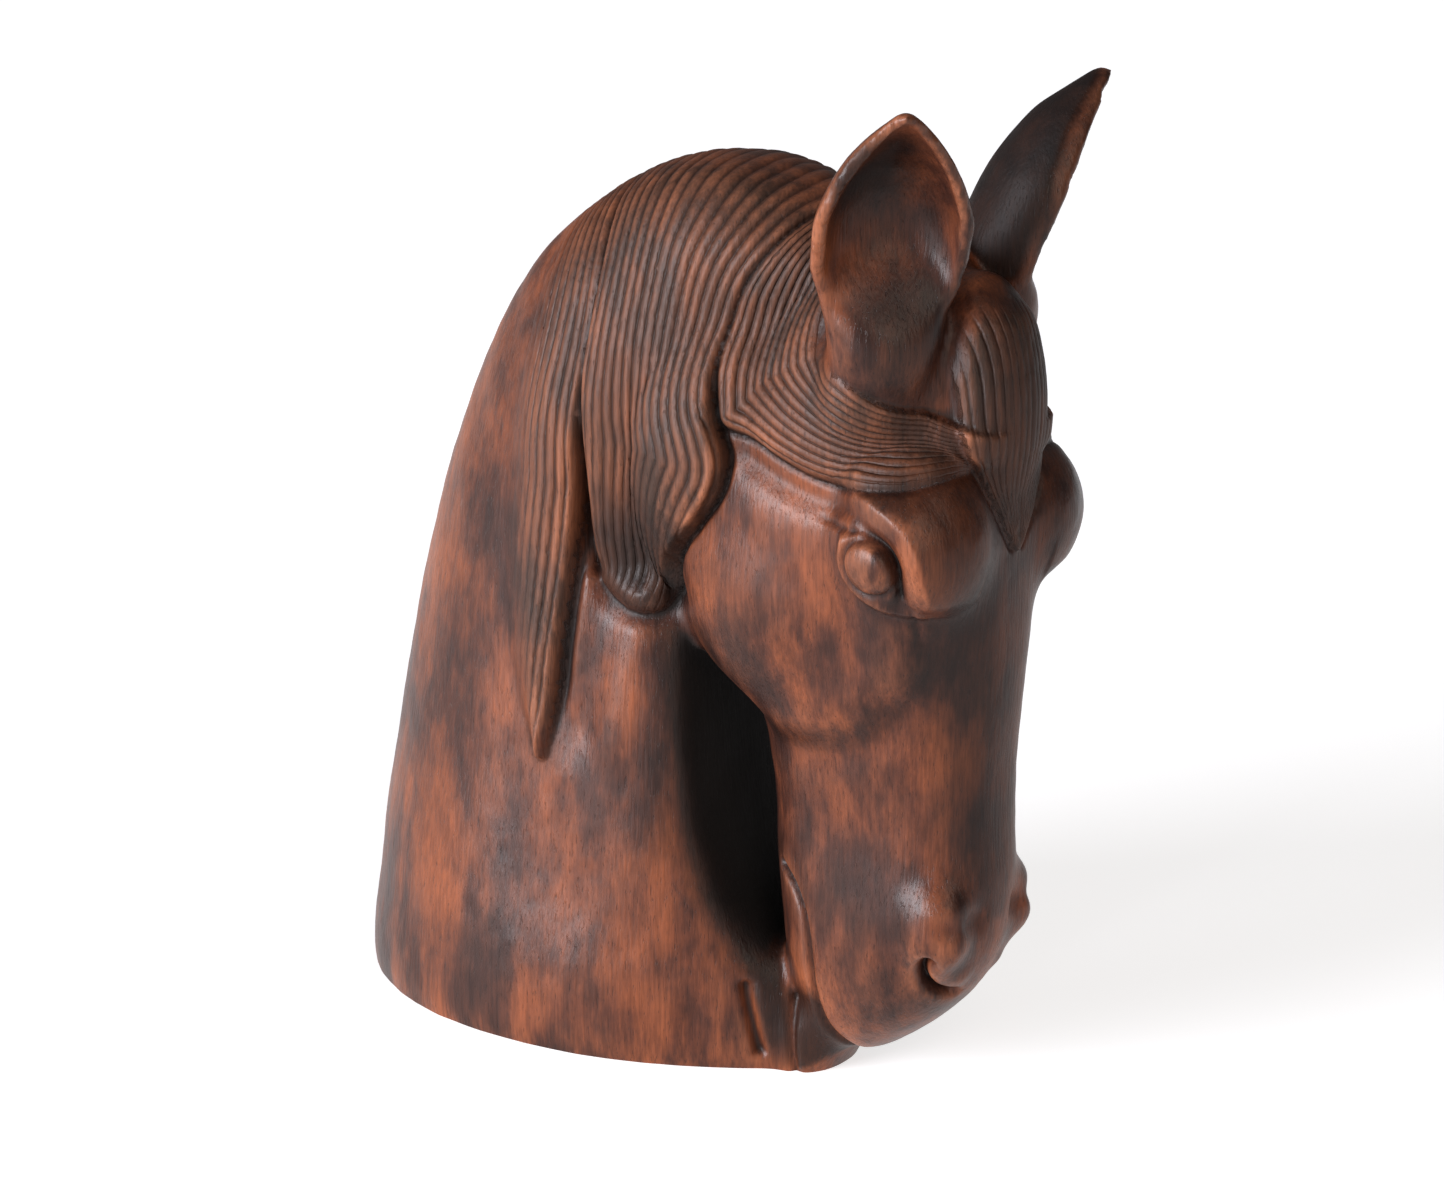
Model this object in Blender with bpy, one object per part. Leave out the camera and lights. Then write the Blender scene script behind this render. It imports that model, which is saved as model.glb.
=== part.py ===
"""Horse head carved from one block of stained hardwood.

The head is bowed on an arched neck, and the neck's foot is cut flat, so the
carving stands on it. The horse faces +X, +Z is up, and the halves mirror
each other across Y = 0. The origin is on the underside.
"""

import math

import bmesh
import bpy
import numpy as np
from mathutils import Matrix, Vector

# Driving sizes, in metres
HEIGHT = 0.250
EAR_WALL = 0.0031
LOCK_RISE = 0.0048
STRAND_PITCH = 0.0066
STRAND_DEPTH = 0.0016
MOUTH_CUT = 0.0018
EYE_LENGTH = 0.026
NOSTRIL_DEPTH = 0.0050
CHISEL_STEP = 0.0010
FACETS = 9400

# The figure is drawn on a grid of 250 steps from the floor to the ear tips,
# and every number below is a count of these steps
STEP = HEIGHT / 250

# Sections of the neck from the foot to the crest: height, back, front, half
# widths at back, middle and front, squareness of the back and of the front
NECK = (
    (-6, -77, 67.5, 31, 39.5, 18, 2.5, 2.6),
    (0, -77.5, 68.5, 31.5, 40, 18, 2.5, 2.6),
    (1.5, -78.5, 69.5, 32, 41, 19, 2.5, 2.6),
    (14, -78.5, 69, 31, 41, 20, 2.4, 2.8),
    (22, -77.5, 65.5, 30, 40.5, 21.5, 2.3, 3.2),
    (32, -76, 56, 28.5, 39.5, 23, 2.3, 5.0),
    (44, -74.5, 48.5, 27, 38, 25.5, 2.3, 8.0),
    (62, -71, 42.5, 25, 35.5, 27, 2.3, 9.0),
    (84, -66.5, 39.5, 23.5, 33, 27.5, 2.3, 9.0),
    (108, -61, 38, 22, 31, 26.5, 2.3, 7.0),
    (134, -53.5, 45, 21, 29.5, 22, 2.3, 2.6),
    (160, -44, 60, 20, 29, 22, 2.2, 2.3),
    (180, -34, 74, 19, 29, 20, 2.2, 2.3),
    (196, -23, 83, 18, 28, 19, 2.2, 2.3),
    (209, -9, 88, 16, 26, 18, 2.2, 2.3),
    (218.5, 5, 79, 13, 21.5, 12, 2.2, 2.2),
    (225.5, 19, 66, 9, 15, 8, 2.1, 2.1),
    (229, 31, 52, 4, 7, 4, 2.0, 2.0),
)

# Sections of the head from the lips up to the poll
HEAD = (
    (8, 74, 85, 7, 8, 5, 2.2, 2.2),
    (15, 65, 95, 12, 14, 11, 2.5, 2.4),
    (24, 60.5, 105, 14.5, 17.5, 14.5, 3.0, 2.5),
    (34, 58.5, 112.5, 15, 20, 16.5, 3.4, 2.5),
    (46, 57, 117, 15, 21, 17, 3.4, 2.5),
    (58, 55.5, 118, 15, 20.5, 16, 3.4, 2.9),
    (72, 54.5, 117, 15, 20, 15.5, 3.2, 3.2),
    (86, 53, 117, 17, 21.5, 15.5, 3.0, 3.2),
    (100, 48, 118, 21, 25, 16.5, 2.7, 3.1),
    (114, 40, 119, 25, 28.5, 19, 2.7, 2.9),
    (130, 33, 119.5, 28, 31, 23, 2.9, 2.9),
    (148, 33, 119.5, 28, 31.5, 25, 3.0, 2.9),
    (164, 40, 117.5, 27, 29, 21, 2.8, 2.5),
    (182, 48, 113, 23, 28, 20, 2.4, 2.5),
    (198, 60, 108, 19, 23, 16, 2.3, 2.4),
    (208, 71, 103, 12, 16, 11, 2.2, 2.2),
    (214, 81, 97, 6, 8, 6, 2.0, 2.0),
)

# Sections of the chin, which grows out of the front of the foot
CHIN = (
    (-6, 54, 70, 11, 13, 10, 2.4, 2.6),
    (0, 54, 71.5, 12, 14, 11, 2.4, 2.6),
    (2, 54, 73.5, 12.5, 14.5, 12, 2.4, 2.6),
    (12, 57, 77, 13, 14.5, 12.5, 2.4, 2.4),
    (19, 62, 83, 12, 14, 12.5, 2.4, 2.4),
    (27, 69, 84, 9, 12, 11, 2.4, 2.4),
)

# Rounded masses: centre, radii
CHEEK = ((65.5, 11, 131), (34, 21.5, 36))
BROW = ((102.5, 19, 147.5), (20.5, 18, 21))
TEAR_RIDGE = ((99, 14, 129), (13, 15, 26))
MANE_PAD = ((46, 8, 162), (28, 22.8, 46))
NOSTRIL_WING = ((106, 14, 50), (12, 7.5, 13))
FORELOCK = ((108, 0, 176), (14, 17, 33))

# Each ear stands on its base point and points at its tip, with its cup
# turned this many degrees from straight ahead
EAR_BASE = Vector((96.5, 23, 190))
EAR_TIP = Vector((113, 39.8, 251.2))
EAR_TURN = 46
# Share of the ear's length, half width, bulge of the back, depth of the cup
# (negative where the ear is still full), share of the wall, bow backwards
EAR = (
    (-0.22, 12.5, 13, -9, 0, 0),
    (0.02, 12.8, 14.5, -10, 0, 0),
    (0.14, 14, 16, -7.5, 0.2, -0.2),
    (0.26, 16.4, 16.5, 1, 0.6, -0.4),
    (0.38, 18.3, 16.4, 10, 1, -0.6),
    (0.52, 18.4, 15.6, 13.5, 1, -0.8),
    (0.66, 16.0, 13.6, 12, 1, -1.1),
    (0.78, 12.4, 11, 8, 1, -1.6),
    (0.88, 8.3, 7.6, 4, 0.9, -2.6),
    (0.97, 3.6, 4.3, 0, 0.6, -3.5),
    (1.0, 1.5, 2.2, -1.5, 0, -3.5),
)

# Lines of the mane, drawn on the side view as (forward, height)
PARTING = (
    (4, 242), (9, 225), (13.5, 212), (15.5, 199), (15, 184), (13.5, 171),
    (12.4, 158), (12.2, 147), (13, 135), (14.5, 127),
)
LOCK_FOOT = ((18.5, 121.4), (25, 117.8), (32, 117.8), (36, 123))
LOCK_FRONT = ((39.5, 133.5), (48, 143.5), (55, 152.5), (57, 161), (54.5, 169))
SWEEP_BACK = (
    (53, 175), (52.5, 183), (54, 192), (57, 201), (62, 209), (68, 217),
    (74, 224), (81, 242),
)
SWEEP_FOOT = (
    (64, 166.5), (73.5, 163), (84, 160.3), (95, 160), (105, 161.5),
    (113, 163.5), (122, 166),
)
SWEEP_INNER = (
    (98, 242), (90, 222), (84, 208), (83, 198), (87, 190), (95, 185),
    (102, 180), (109, 176.5), (116, 174), (124, 172),
)
BACK_LOCK = (
    (12.2, 147), (11, 138), (9, 122), (7, 106), (5.8, 94), (4.4, 85),
    (2.4, 76),
)

# The middle lock's strands run between its parting and this line
LOCK_GUIDE = ((39, 112), (42, 122), (45, 133), (51, 143.5), (57, 152.5), (58.5, 161), (56, 169))

# Lines of the eye on the side view
EYE = (101.5, 143.6)
BROW_RIDGE = (
    (90, 160.5), (95, 160), (101, 158.5), (107, 156), (111.5, 152.4), (114, 147),
    (114.6, 141), (113.6, 135), (111, 129),
)
OUTER_FOLD = ((83, 152), (87.5, 151.6), (92, 151.4), (97, 151.8))
UPPER_LID = (
    (96, 151.6), (100, 152), (104, 150.8), (107.3, 148), (109, 144), (108.8, 140),
    (108, 136.5),
)
LOWER_LID = (
    (93, 148.5), (92, 144), (93.2, 140), (96, 136.4), (100.3, 134), (105, 132.4),
    (110, 131.6),
)
TEAR_LINE = ((109.5, 134), (109, 130), (108.4, 124))

# Other lines of the face, the neck and the chest on the side view
MOUTH = ((62, 56), (68, 52), (72, 45), (73.5, 34), (74, 24), (76, 16), (80, 9))
JAW = ((56, 94), (67, 92), (80, 94), (92, 98.5), (101, 106))
NECK_FACET = ((19, 73), (22, 89), (25.5, 105), (27.5, 118))
CHEST_SLIT = ((55, 23), (56.3, 14), (57.5, 5))
CHIN_EDGE = ((64.5, 25), (65.2, 12), (65.8, 0))
NOSTRIL = (110.2, 36.3)
NOSTRIL_HOLLOW = (115, 51.5)
WORN_HOLLOW = (44, 14)


def clear_scene():
    for obj in list(bpy.data.objects):
        bpy.data.objects.remove(obj, do_unlink=True)


def between(rows, count):
    """Rows at evenly spaced stations, on smooth curves that never overshoot."""
    table = np.array(rows, float)
    at, values = table[:, 0], table[:, 1:]
    slope = np.diff(values, axis=0) / np.diff(at)[:, None]
    tangent = np.zeros_like(values)
    tangent[0], tangent[-1] = slope[0], slope[-1]
    for i in range(1, len(at) - 1):
        total = np.where(slope[i - 1] * slope[i] > 0, slope[i - 1] + slope[i], np.inf)
        tangent[i] = 2 * slope[i - 1] * slope[i] / total
    stations = np.linspace(at[0], at[-1], count)
    k = np.clip(np.searchsorted(at, stations, side="right") - 1, 0, len(at) - 2)
    gap = (at[k + 1] - at[k])[:, None]
    t = (stations - at[k])[:, None] / gap
    values = (
        values[k] * (1 + 2 * t) * (1 - t) ** 2
        + tangent[k] * gap * t * (1 - t) ** 2
        + values[k + 1] * t * t * (3 - 2 * t)
        - tangent[k + 1] * gap * t * t * (1 - t)
    )
    return np.column_stack([stations, values])


def sections(bm, stations, around, place):
    """A closed ball whose rings are moved, one by one, onto the stations."""
    count = len(stations)
    ball = bmesh.ops.create_uvsphere(
        bm, u_segments=around, v_segments=count + 1, radius=1
    )
    for v in ball["verts"]:
        z = max(-1.0, min(1.0, v.co.z))
        level = math.acos(-z) / math.pi * (count + 1) - 1
        ring = math.hypot(v.co.x, v.co.y)
        row = stations[max(0, min(count - 1, round(level)))]
        if ring < 1e-6:
            v.co = place(row, 0.0, 0.0)
        else:
            v.co = place(row, v.co.x / ring, v.co.y / ring)


def body_section(row, c, s):
    """A point of an upright form's section: c runs forward, s sideways."""
    z, back, front, w_back, w_middle, w_front, p_back, p_front = row
    power = p_front if c > 0 else p_back
    ahead = math.copysign(abs(c) ** (2 / power), c)
    aside = math.copysign(abs(s) ** (2 / power), s)
    width = w_middle + ahead * (w_front - w_back) / 2
    width += ahead * ahead * ((w_front + w_back) / 2 - w_middle)
    x = (back + front) / 2 + ahead * (front - back) / 2
    return Vector((x, aside * width, z)) * STEP


def ear_section(side):
    axis = EAR_TIP - EAR_BASE
    turn = math.radians(EAR_TURN)
    face = Vector((math.cos(turn), math.sin(turn), 0))
    across = axis.cross(face).normalized()
    face = across.cross(axis).normalized()

    def place(row, c, s):
        share, half, bulge, cup, wall, bow = row
        point = EAR_BASE + axis * share - face * bow
        if s <= 0:
            point = point + across * (c * half) + face * (s * bulge)
        else:
            rim = wall * EAR_WALL / STEP
            point = point + across * (c * max(half - rim, 0.4))
            point = point - face * (cup * s)
        return Vector((point.x, side * point.y, point.z)) * STEP

    return place


def mass(bm, centre, radii, side=1):
    x, y, z = centre
    place = Matrix.Translation(Vector((x, side * y, z)) * STEP)
    size = Matrix.Diagonal(Vector((*radii, 1 / STEP)) * STEP)
    bmesh.ops.create_icosphere(bm, subdivisions=4, radius=1, matrix=place @ size)


def fused_forms(chisel):
    """All forms fused into one closed skin with faces of the chisel's size."""
    bm = bmesh.new()
    sections(bm, between(NECK, 60), 48, body_section)
    sections(bm, between(HEAD, 60), 48, body_section)
    sections(bm, between(CHIN, 20), 32, body_section)
    for side in (1, -1):
        mass(bm, *CHEEK, side)
        mass(bm, *BROW, side)
        mass(bm, *TEAR_RIDGE, side)
        mass(bm, *MANE_PAD, side)
        mass(bm, *NOSTRIL_WING, side)
        sections(bm, between(EAR, 44), 44, ear_section(side))
    mass(bm, *FORELOCK)
    bmesh.ops.recalc_face_normals(bm, faces=bm.faces)
    mesh = bpy.data.meshes.new("horse_head")
    bm.to_mesh(mesh)
    bm.free()
    head = bpy.data.objects.new("horse_head", mesh)
    bpy.context.scene.collection.objects.link(head)
    fuse = head.modifiers.new("Fuse", "REMESH")
    fuse.mode = "VOXEL"
    fuse.voxel_size = chisel
    settle(head)
    return head


def settle(head):
    """Make the modifiers' result the object's own mesh."""
    bpy.context.view_layer.update()
    graph = bpy.context.evaluated_depsgraph_get()
    made = bpy.data.meshes.new_from_object(head.evaluated_get(graph))
    head.modifiers.clear()
    old = head.data
    head.data = made
    bpy.data.meshes.remove(old)
    made.name = "horse_head"


def points_of(mesh):
    flat = np.empty(len(mesh.vertices) * 3, np.float32)
    mesh.vertices.foreach_get("co", flat)
    return flat.reshape(-1, 3).astype(float) / STEP


def normals_of(mesh):
    flat = np.empty(len(mesh.vertices) * 3, np.float32)
    mesh.vertices.foreach_get("normal", flat)
    return flat.reshape(-1, 3).astype(float)


def edges_of(mesh):
    flat = np.empty(len(mesh.edges) * 2, np.int32)
    mesh.edges.foreach_get("vertices", flat)
    return flat.reshape(-1, 2)


def move_to(mesh, points):
    mesh.vertices.foreach_set("co", (points * STEP).astype(np.float32).ravel())
    mesh.update()


def soften(points, edges, rounds, share=0.5):
    """Each point, or depth, moves part of the way to its neighbours' mean."""
    a, b = edges[:, 0], edges[:, 1]
    count = np.bincount(edges.ravel(), minlength=len(points))
    for _ in range(rounds):
        for axis in range(points.shape[1]):
            p = points[:, axis]
            total = np.bincount(a, p[b], len(p)) + np.bincount(b, p[a], len(p))
            points[:, axis] = p + share * (total / count - p)
    return points


def ramp(value, low, high):
    t = np.clip((value - low) / (high - low), 0, 1)
    return t * t * (3 - 2 * t)


def bump(value, width):
    return np.exp(-((value / width) ** 2))


def curve(points, steps=6):
    """A smooth curve through the given points."""
    p = np.array(points, float)
    p = np.vstack([2 * p[0] - p[1], p, 2 * p[-1] - p[-2]])
    t = np.linspace(0, 1, steps, endpoint=False)[:, None]
    pieces = []
    for p0, p1, p2, p3 in zip(p, p[1:], p[2:], p[3:]):
        pieces.append(
            p1 + 0.5 * t * (p2 - p0)
            + t * t * (p0 - 2.5 * p1 + 2 * p2 - 0.5 * p3)
            + t * t * t * (1.5 * (p1 - p2) + 0.5 * (p3 - p0))
        )
    return np.vstack(pieces + [p[-2:-1]])


def away(x, z, line):
    """Distance to a line, negative on its right as one walks along it."""
    best = np.full(len(x), np.inf)
    side = np.ones(len(x))
    for (ax, az), (bx, bz) in zip(line, line[1:]):
        dx, dz = bx - ax, bz - az
        t = np.clip(((x - ax) * dx + (z - az) * dz) / (dx * dx + dz * dz), 0, 1)
        gap = np.hypot(x - ax - t * dx, z - az - t * dz)
        nearer = gap < best
        best = np.where(nearer, gap, best)
        turn = dx * (z - az) - dz * (x - ax)
        side = np.where(nearer, np.where(turn < 0, -1.0, 1.0), side)
    return best * side


def inside(x, z, outline):
    """True for points within a closed outline."""
    within = np.zeros(len(x), bool)
    for (ax, az), (bx, bz) in zip(outline, np.roll(outline, -1, axis=0)):
        if az == bz:
            continue
        across = (az > z) != (bz > z)
        within ^= across & (x < (bx - ax) * (z - az) / (bz - az) + ax)
    return within


def shoulder(distance, width):
    """Rises steeply from an edge and rounds over to full height."""
    return np.sin(np.pi / 2 * np.clip(distance / width, 0, 1)) ** 0.8


def mixed(a, b, share):
    return a + (b - a) * share


def strand(phase):
    """0 on the round back of a strand, 1 in the groove between two."""
    return 1 - np.abs(np.sin(np.pi * phase)) ** 0.7


def mane_relief(points):
    """Height of the locks and strands over the plain forms."""
    x, y, z = points[:, 0], np.abs(points[:, 1]), points[:, 2]
    relief = np.zeros(len(x))
    zone = (z > 66) & (x < 122)
    x, y, z = x[zone], y[zone], z[zone]
    rise = LOCK_RISE / STEP
    step = STRAND_PITCH / STEP

    parting = curve(PARTING)
    front = curve(LOCK_FOOT[3:] + LOCK_FRONT + SWEEP_BACK)
    foot = curve(PARTING[-1:] + LOCK_FOOT)
    sweep = curve(SWEEP_BACK[::-1] + LOCK_FRONT[4:] + SWEEP_FOOT)
    inner = curve(SWEEP_INNER)

    to_parting = np.abs(away(x, z, parting))
    to_front = np.abs(away(x, z, front))
    to_foot = np.abs(away(x, z, foot))
    to_sweep = np.abs(away(x, z, sweep))
    to_inner = np.abs(away(x, z, inner))
    to_back = away(x, z, curve(PARTING[:-2] + BACK_LOCK[1:]))
    to_guide = away(x, z, curve(LOCK_GUIDE + SWEEP_BACK))

    middle = inside(x, z, np.vstack([parting, foot[1:], front[1:]]))
    swept = inside(x, z, np.vstack([sweep, inner[::-1]])) & ~middle
    behind = (to_back < 0) & ~middle & (z > 76)
    off_crest = ramp(y, 5, 17)

    # The locks stand proud low down and lie flush with each other at the crest
    lock = rise * (1 - 0.75 * ramp(z, 165, 205)) * shoulder(to_foot, 5)
    lock *= mixed(shoulder(to_front, 2.6), 1, ramp(z, 160, 186))
    lock *= mixed(shoulder(to_parting, 6), 1, ramp(z, 148, 182))
    width = np.interp(z, (76, 88, 102, 130, 170), (3, 11, 17, 24, 27))
    fade = 1 - ramp(-to_back, 0.35 * width, width)
    tail = 0.85 * rise * fade * (1 - 0.75 * ramp(z, 150, 200))
    rear = tail * mixed(shoulder(-to_back, 2.8), 1, ramp(z, 150, 185))
    swept_lock = rise * mixed(0.6, 0.3, ramp(z, 168, 205))
    swept_lock *= mixed(shoulder(to_sweep, 4.5), 1, ramp(z, 168, 190))
    height = np.where(middle, lock, 0) + np.where(behind, rear, 0)
    height = np.where(swept, swept_lock, height)

    low = 1 - ramp(z, 138, 178)
    cut = bump(to_parting, 1.5 + 0.8 * low) * (1.1 + 2.4 * low) * (z > 124)
    cut += bump(to_front, 1.3) * mixed(1.8, 1.0, ramp(z, 165, 190)) * ramp(z, 118, 130)
    cut += bump(to_sweep, 1.4) * 0.9 * ramp(160 - x, 40, 55) * (1 - ramp(z, 168, 176))
    cut += bump(to_foot, 4.0) * 1.5 * (1 - middle) * ramp(z, 110, 116)

    # Strands keep an equal share of the way between two edges of their lock
    rows = max(3, round(33 / step))
    breadth = np.maximum(to_parting + to_guide, 4)
    lines = strand(to_parting / breadth * rows) * ramp(breadth / rows / step, 0.3, 0.8)
    depth = np.where(middle, lines, 0)
    rows = max(3, round(30 / step))
    breadth = np.maximum(to_sweep + to_inner, 0.1)
    lines = strand(to_sweep / breadth * rows) * ramp(breadth / rows / step, 0.3, 0.8)
    depth = np.where(swept, lines, depth)
    depth = np.where(behind, strand(-to_back / step) * fade * ramp(z, 76, 84), depth)
    crest = 0.55 + 0.45 * off_crest
    relief[zone] = height * off_crest - (cut + STRAND_DEPTH / STEP * depth) * crest
    return relief


def forelock_relief(points):
    """Fine upright strands on the tuft between the ears."""
    x, y, z = points[:, 0], points[:, 1], points[:, 2]
    width = np.interp(z, (143, 151, 160, 168, 176, 198), (1.5, 7, 12, 15, 16, 16.5))
    tuft = (x > 104) & (z > 143) & (z < 206)
    relief = 1.3 * shoulder(width - np.abs(y), 2.0) * ramp(x, 106, 112)
    lines = strand(y / width * max(3, round(22 / (STRAND_PITCH / STEP))) / 2)
    relief -= lines * STRAND_DEPTH / STEP * (np.abs(y) < width)
    relief -= 1.1 * bump(np.abs(y) - width, 1.2)
    return np.where(tuft, relief * ramp(x, 104, 110) * ramp(206 - z, 2, 10), 0)


def eye_relief(points):
    """Round eye between two lids, sunk below a sharp ridge of brow."""
    relief = np.zeros(len(points))
    zone = (np.abs(points[:, 1]) > 15) & (points[:, 0] > 76) & (points[:, 2] > 116)
    zone &= points[:, 2] < 168
    x, z = points[zone, 0], points[zone, 2]
    scale = EYE_LENGTH / STEP / 26
    x = EYE[0] + (x - EYE[0]) / scale
    z = EYE[1] + (z - EYE[1]) / scale
    over = away(x, z, curve(BROW_RIDGE))
    along = ramp(x, 88, 97) * ramp(z, 130, 137)
    ridge = np.where(over < 0, 1 + over / 4.4, 1 - over / 7)
    height = 2.2 * np.clip(ridge, 0, 1) * along
    height -= 1.6 * bump(over + 5.4, 1.9) * along * ramp(x, 95, 102)
    lid = np.abs(away(x, z, curve(UPPER_LID)))
    height -= mixed(0.5, 1.6, ramp(x, 98, 106)) * bump(lid, 1.2)
    height -= 0.9 * bump(away(x, z, curve(OUTER_FOLD)), 1.1) * ramp(x, 82, 86)
    ball = np.hypot((x - EYE[0]) / 6.9, (z - EYE[1]) / 6.4)
    height += 2.1 * np.sqrt(np.clip(1 - ball ** 2, 0, 1))
    height -= 0.9 * bump(ball - 1.10, 0.14)
    below = away(x, z, curve(LOWER_LID))
    height += 1.1 * bump(below - 0.6, 1.2) - 0.8 * bump(below + 2.6, 1.7)
    height -= 0.7 * bump(np.abs(away(x, z, curve(TEAR_LINE))), 1.0)
    relief[zone] = height * scale
    return relief


def nostril_relief(points):
    """Crescent nostril round a small knob, with a hollow above it."""
    x, y, z = points[:, 0], np.abs(points[:, 1]), points[:, 2]
    dx, dz = x - NOSTRIL[0], z - NOSTRIL[1]
    radius = np.hypot(dx, dz * 0.85)
    rear = ramp(-dx, -1.5, 2.5)
    relief = -NOSTRIL_DEPTH / STEP * bump(radius - 4.7, 1.6) * rear
    relief += 0.8 * bump(np.hypot(dx - 1, dz), 3.4)
    hollow = np.hypot(x - NOSTRIL_HOLLOW[0], (z - NOSTRIL_HOLLOW[1]) / 0.8)
    relief -= 1.8 * bump(hollow, 4.6)
    return np.where(y > 4, relief * ramp(y, 4, 8), 0)


def jaw_relief(points):
    """Soft valley where the cheek's lower edge turns in to the muzzle."""
    x, y, z = points[:, 0], np.abs(points[:, 1]), points[:, 2]
    gap = away(x, z, curve(JAW))
    ends = ramp(x, 50, 60) * ramp(108 - x, 0, 12)
    relief = 0.9 * bump(gap - 6, 6) - 0.9 * bump(gap + 2.5, 5)
    return relief * ends * ramp(y, 8, 14)


def cove_relief(points):
    """The smooth cove under the swept strands, and the facet beside the locks."""
    x, y, z = points[:, 0], np.abs(points[:, 1]), points[:, 2]
    under = away(x, z, curve(LOCK_FRONT[4:] + SWEEP_FOOT))
    relief = -1.5 * bump(under + 4.5, 3.6) * (under < 0) * ramp(x, 55, 62) * ramp(104 - x, 0, 12)
    facet = away(x, z, curve(NECK_FACET))
    relief += (0.8 * bump(facet, 4) - 1.5 * bump(facet - 8, 6)) * ramp(z, 72, 88)
    return relief * ramp(y, 12, 18)


def worn_relief(points):
    """Shallow worn hollow low on the right side of the chest."""
    x, y, z = points[:, 0], points[:, 1], points[:, 2]
    gap = np.hypot((x - WORN_HOLLOW[0]) / 5, (z - WORN_HOLLOW[1]) / 9)
    return np.where(y < -10, -1.0 * bump(gap, 0.8), 0)


def line_cut(points, line, width, depth, inner):
    """A narrow cut along a line of the side view, on the outer faces."""
    x, y, z = points[:, 0], np.abs(points[:, 1]), points[:, 2]
    gap = np.abs(away(x, z, curve(line)))
    return -depth * bump(gap, width) * ramp(y, inner, inner + 4)


def cup_clear(points):
    """1 away from the ears, whose thin rims would wear off."""
    base, axis = np.array(EAR_BASE), np.array(EAR_TIP - EAR_BASE)
    p = np.column_stack([points[:, 0], np.abs(points[:, 1]), points[:, 2]]) - base
    along = p @ axis / (axis @ axis)
    off = np.linalg.norm(p - along[:, None] * axis, axis=1)
    return ramp(off, 16, 21) + ramp(-along, -0.02, 0.10)


def brow_fold(points):
    """1 in the fold under the brow, which blends into the side of the nose."""
    x, y, z = points[:, 0], np.abs(points[:, 1]), points[:, 2]
    along = ramp(x, 92, 100) * ramp(y, 8, 14)
    return along * bump(z - np.interp(x, (92, 118), (127, 134)), 9)


def throat_clear(points):
    """1 away from the sawn edges of the throat gap, which stay crisp."""
    x, y, z = points[:, 0], np.abs(points[:, 1]), points[:, 2]
    table = np.array(NECK)
    near = bump(x - np.interp(z, table[:, 0], table[:, 2]), 6)
    return 1 - near * ramp(y, 16, 21) * ramp(z, 24, 34) * ramp(118 - z, 0, 10)


def carve(head):
    mesh = head.data
    points = points_of(mesh)
    edges = edges_of(mesh)
    clear = np.clip(cup_clear(points), 0, 1)
    rounds = round(28 * (0.0013 / CHISEL_STEP) ** 2)
    crisp = np.minimum(throat_clear(points), 0.15 + 0.85 * clear)
    points = soften(points, edges, rounds, 0.5 * np.maximum(crisp, 0.2))
    points = soften(points, edges, 2 * rounds, 0.5 * brow_fold(points))
    for _ in range(rounds):
        points = soften(points, edges, 1, 0.5 * (1 - clear))
        points = soften(points, edges, 1, -0.52 * (1 - clear))
    move_to(mesh, points)
    relief = mane_relief(points) * clear
    relief += forelock_relief(points) * clear
    relief += eye_relief(points)
    relief += nostril_relief(points)
    relief += jaw_relief(points)
    relief += cove_relief(points)
    relief += worn_relief(points)
    relief += line_cut(points, MOUTH, 1.6, MOUTH_CUT / STEP, 3)
    relief += line_cut(points, CHEST_SLIT, 1.7, 2.4, 10)
    relief += line_cut(points, CHIN_EDGE, 1.5, 1.5, 7) * ramp(25 - points[:, 2], 0, 5)
    relief = soften(relief[:, None], edges, 3)
    move_to(mesh, points + normals_of(mesh) * relief)


def thin_out(head):
    """Fewer, larger facets where the surface is calm."""
    triangles = 2 * len(head.data.vertices)
    fewer = head.modifiers.new("Fewer facets", "DECIMATE")
    fewer.ratio = min(1.0, FACETS / triangles)
    fewer.use_collapse_triangulate = True
    settle(head)


def cut_foot(head):
    """Saw the foot flat on the floor plane and close it."""
    bm = bmesh.new()
    bm.from_mesh(head.data)
    geometry = bm.verts[:] + bm.edges[:] + bm.faces[:]
    made = bmesh.ops.bisect_plane(
        bm, geom=geometry, dist=STEP * 0.02,
        plane_co=(0, 0, 0), plane_no=(0, 0, 1), clear_inner=True,
    )
    rim = [e for e in made["geom_cut"] if isinstance(e, bmesh.types.BMEdge)]
    bmesh.ops.edgeloop_fill(bm, edges=rim)
    bmesh.ops.triangulate(bm, faces=[f for f in bm.faces if len(f.verts) > 3])
    bmesh.ops.recalc_face_normals(bm, faces=bm.faces)
    bm.to_mesh(head.data)
    bm.free()


def stained_hardwood():
    wood = bpy.data.materials.new("stained_hardwood")
    wood.use_nodes = True
    shader = wood.node_tree.nodes["Principled BSDF"]
    shader.inputs["Base Color"].default_value = (0.145, 0.055, 0.028, 1)
    shader.inputs["Roughness"].default_value = 0.38
    shader.inputs["Metallic"].default_value = 0.0
    return wood


def main():
    clear_scene()
    head = fused_forms(CHISEL_STEP)
    carve(head)
    thin_out(head)
    cut_foot(head)
    head.data.materials.append(stained_hardwood())
    head.data.shade_smooth()
    head.data.set_sharp_from_angle(angle=math.radians(40))


main()
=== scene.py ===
import math

import bmesh
import bpy
import numpy as np
from mathutils import Matrix, Vector
from mathutils.bvhtree import BVHTree


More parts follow.
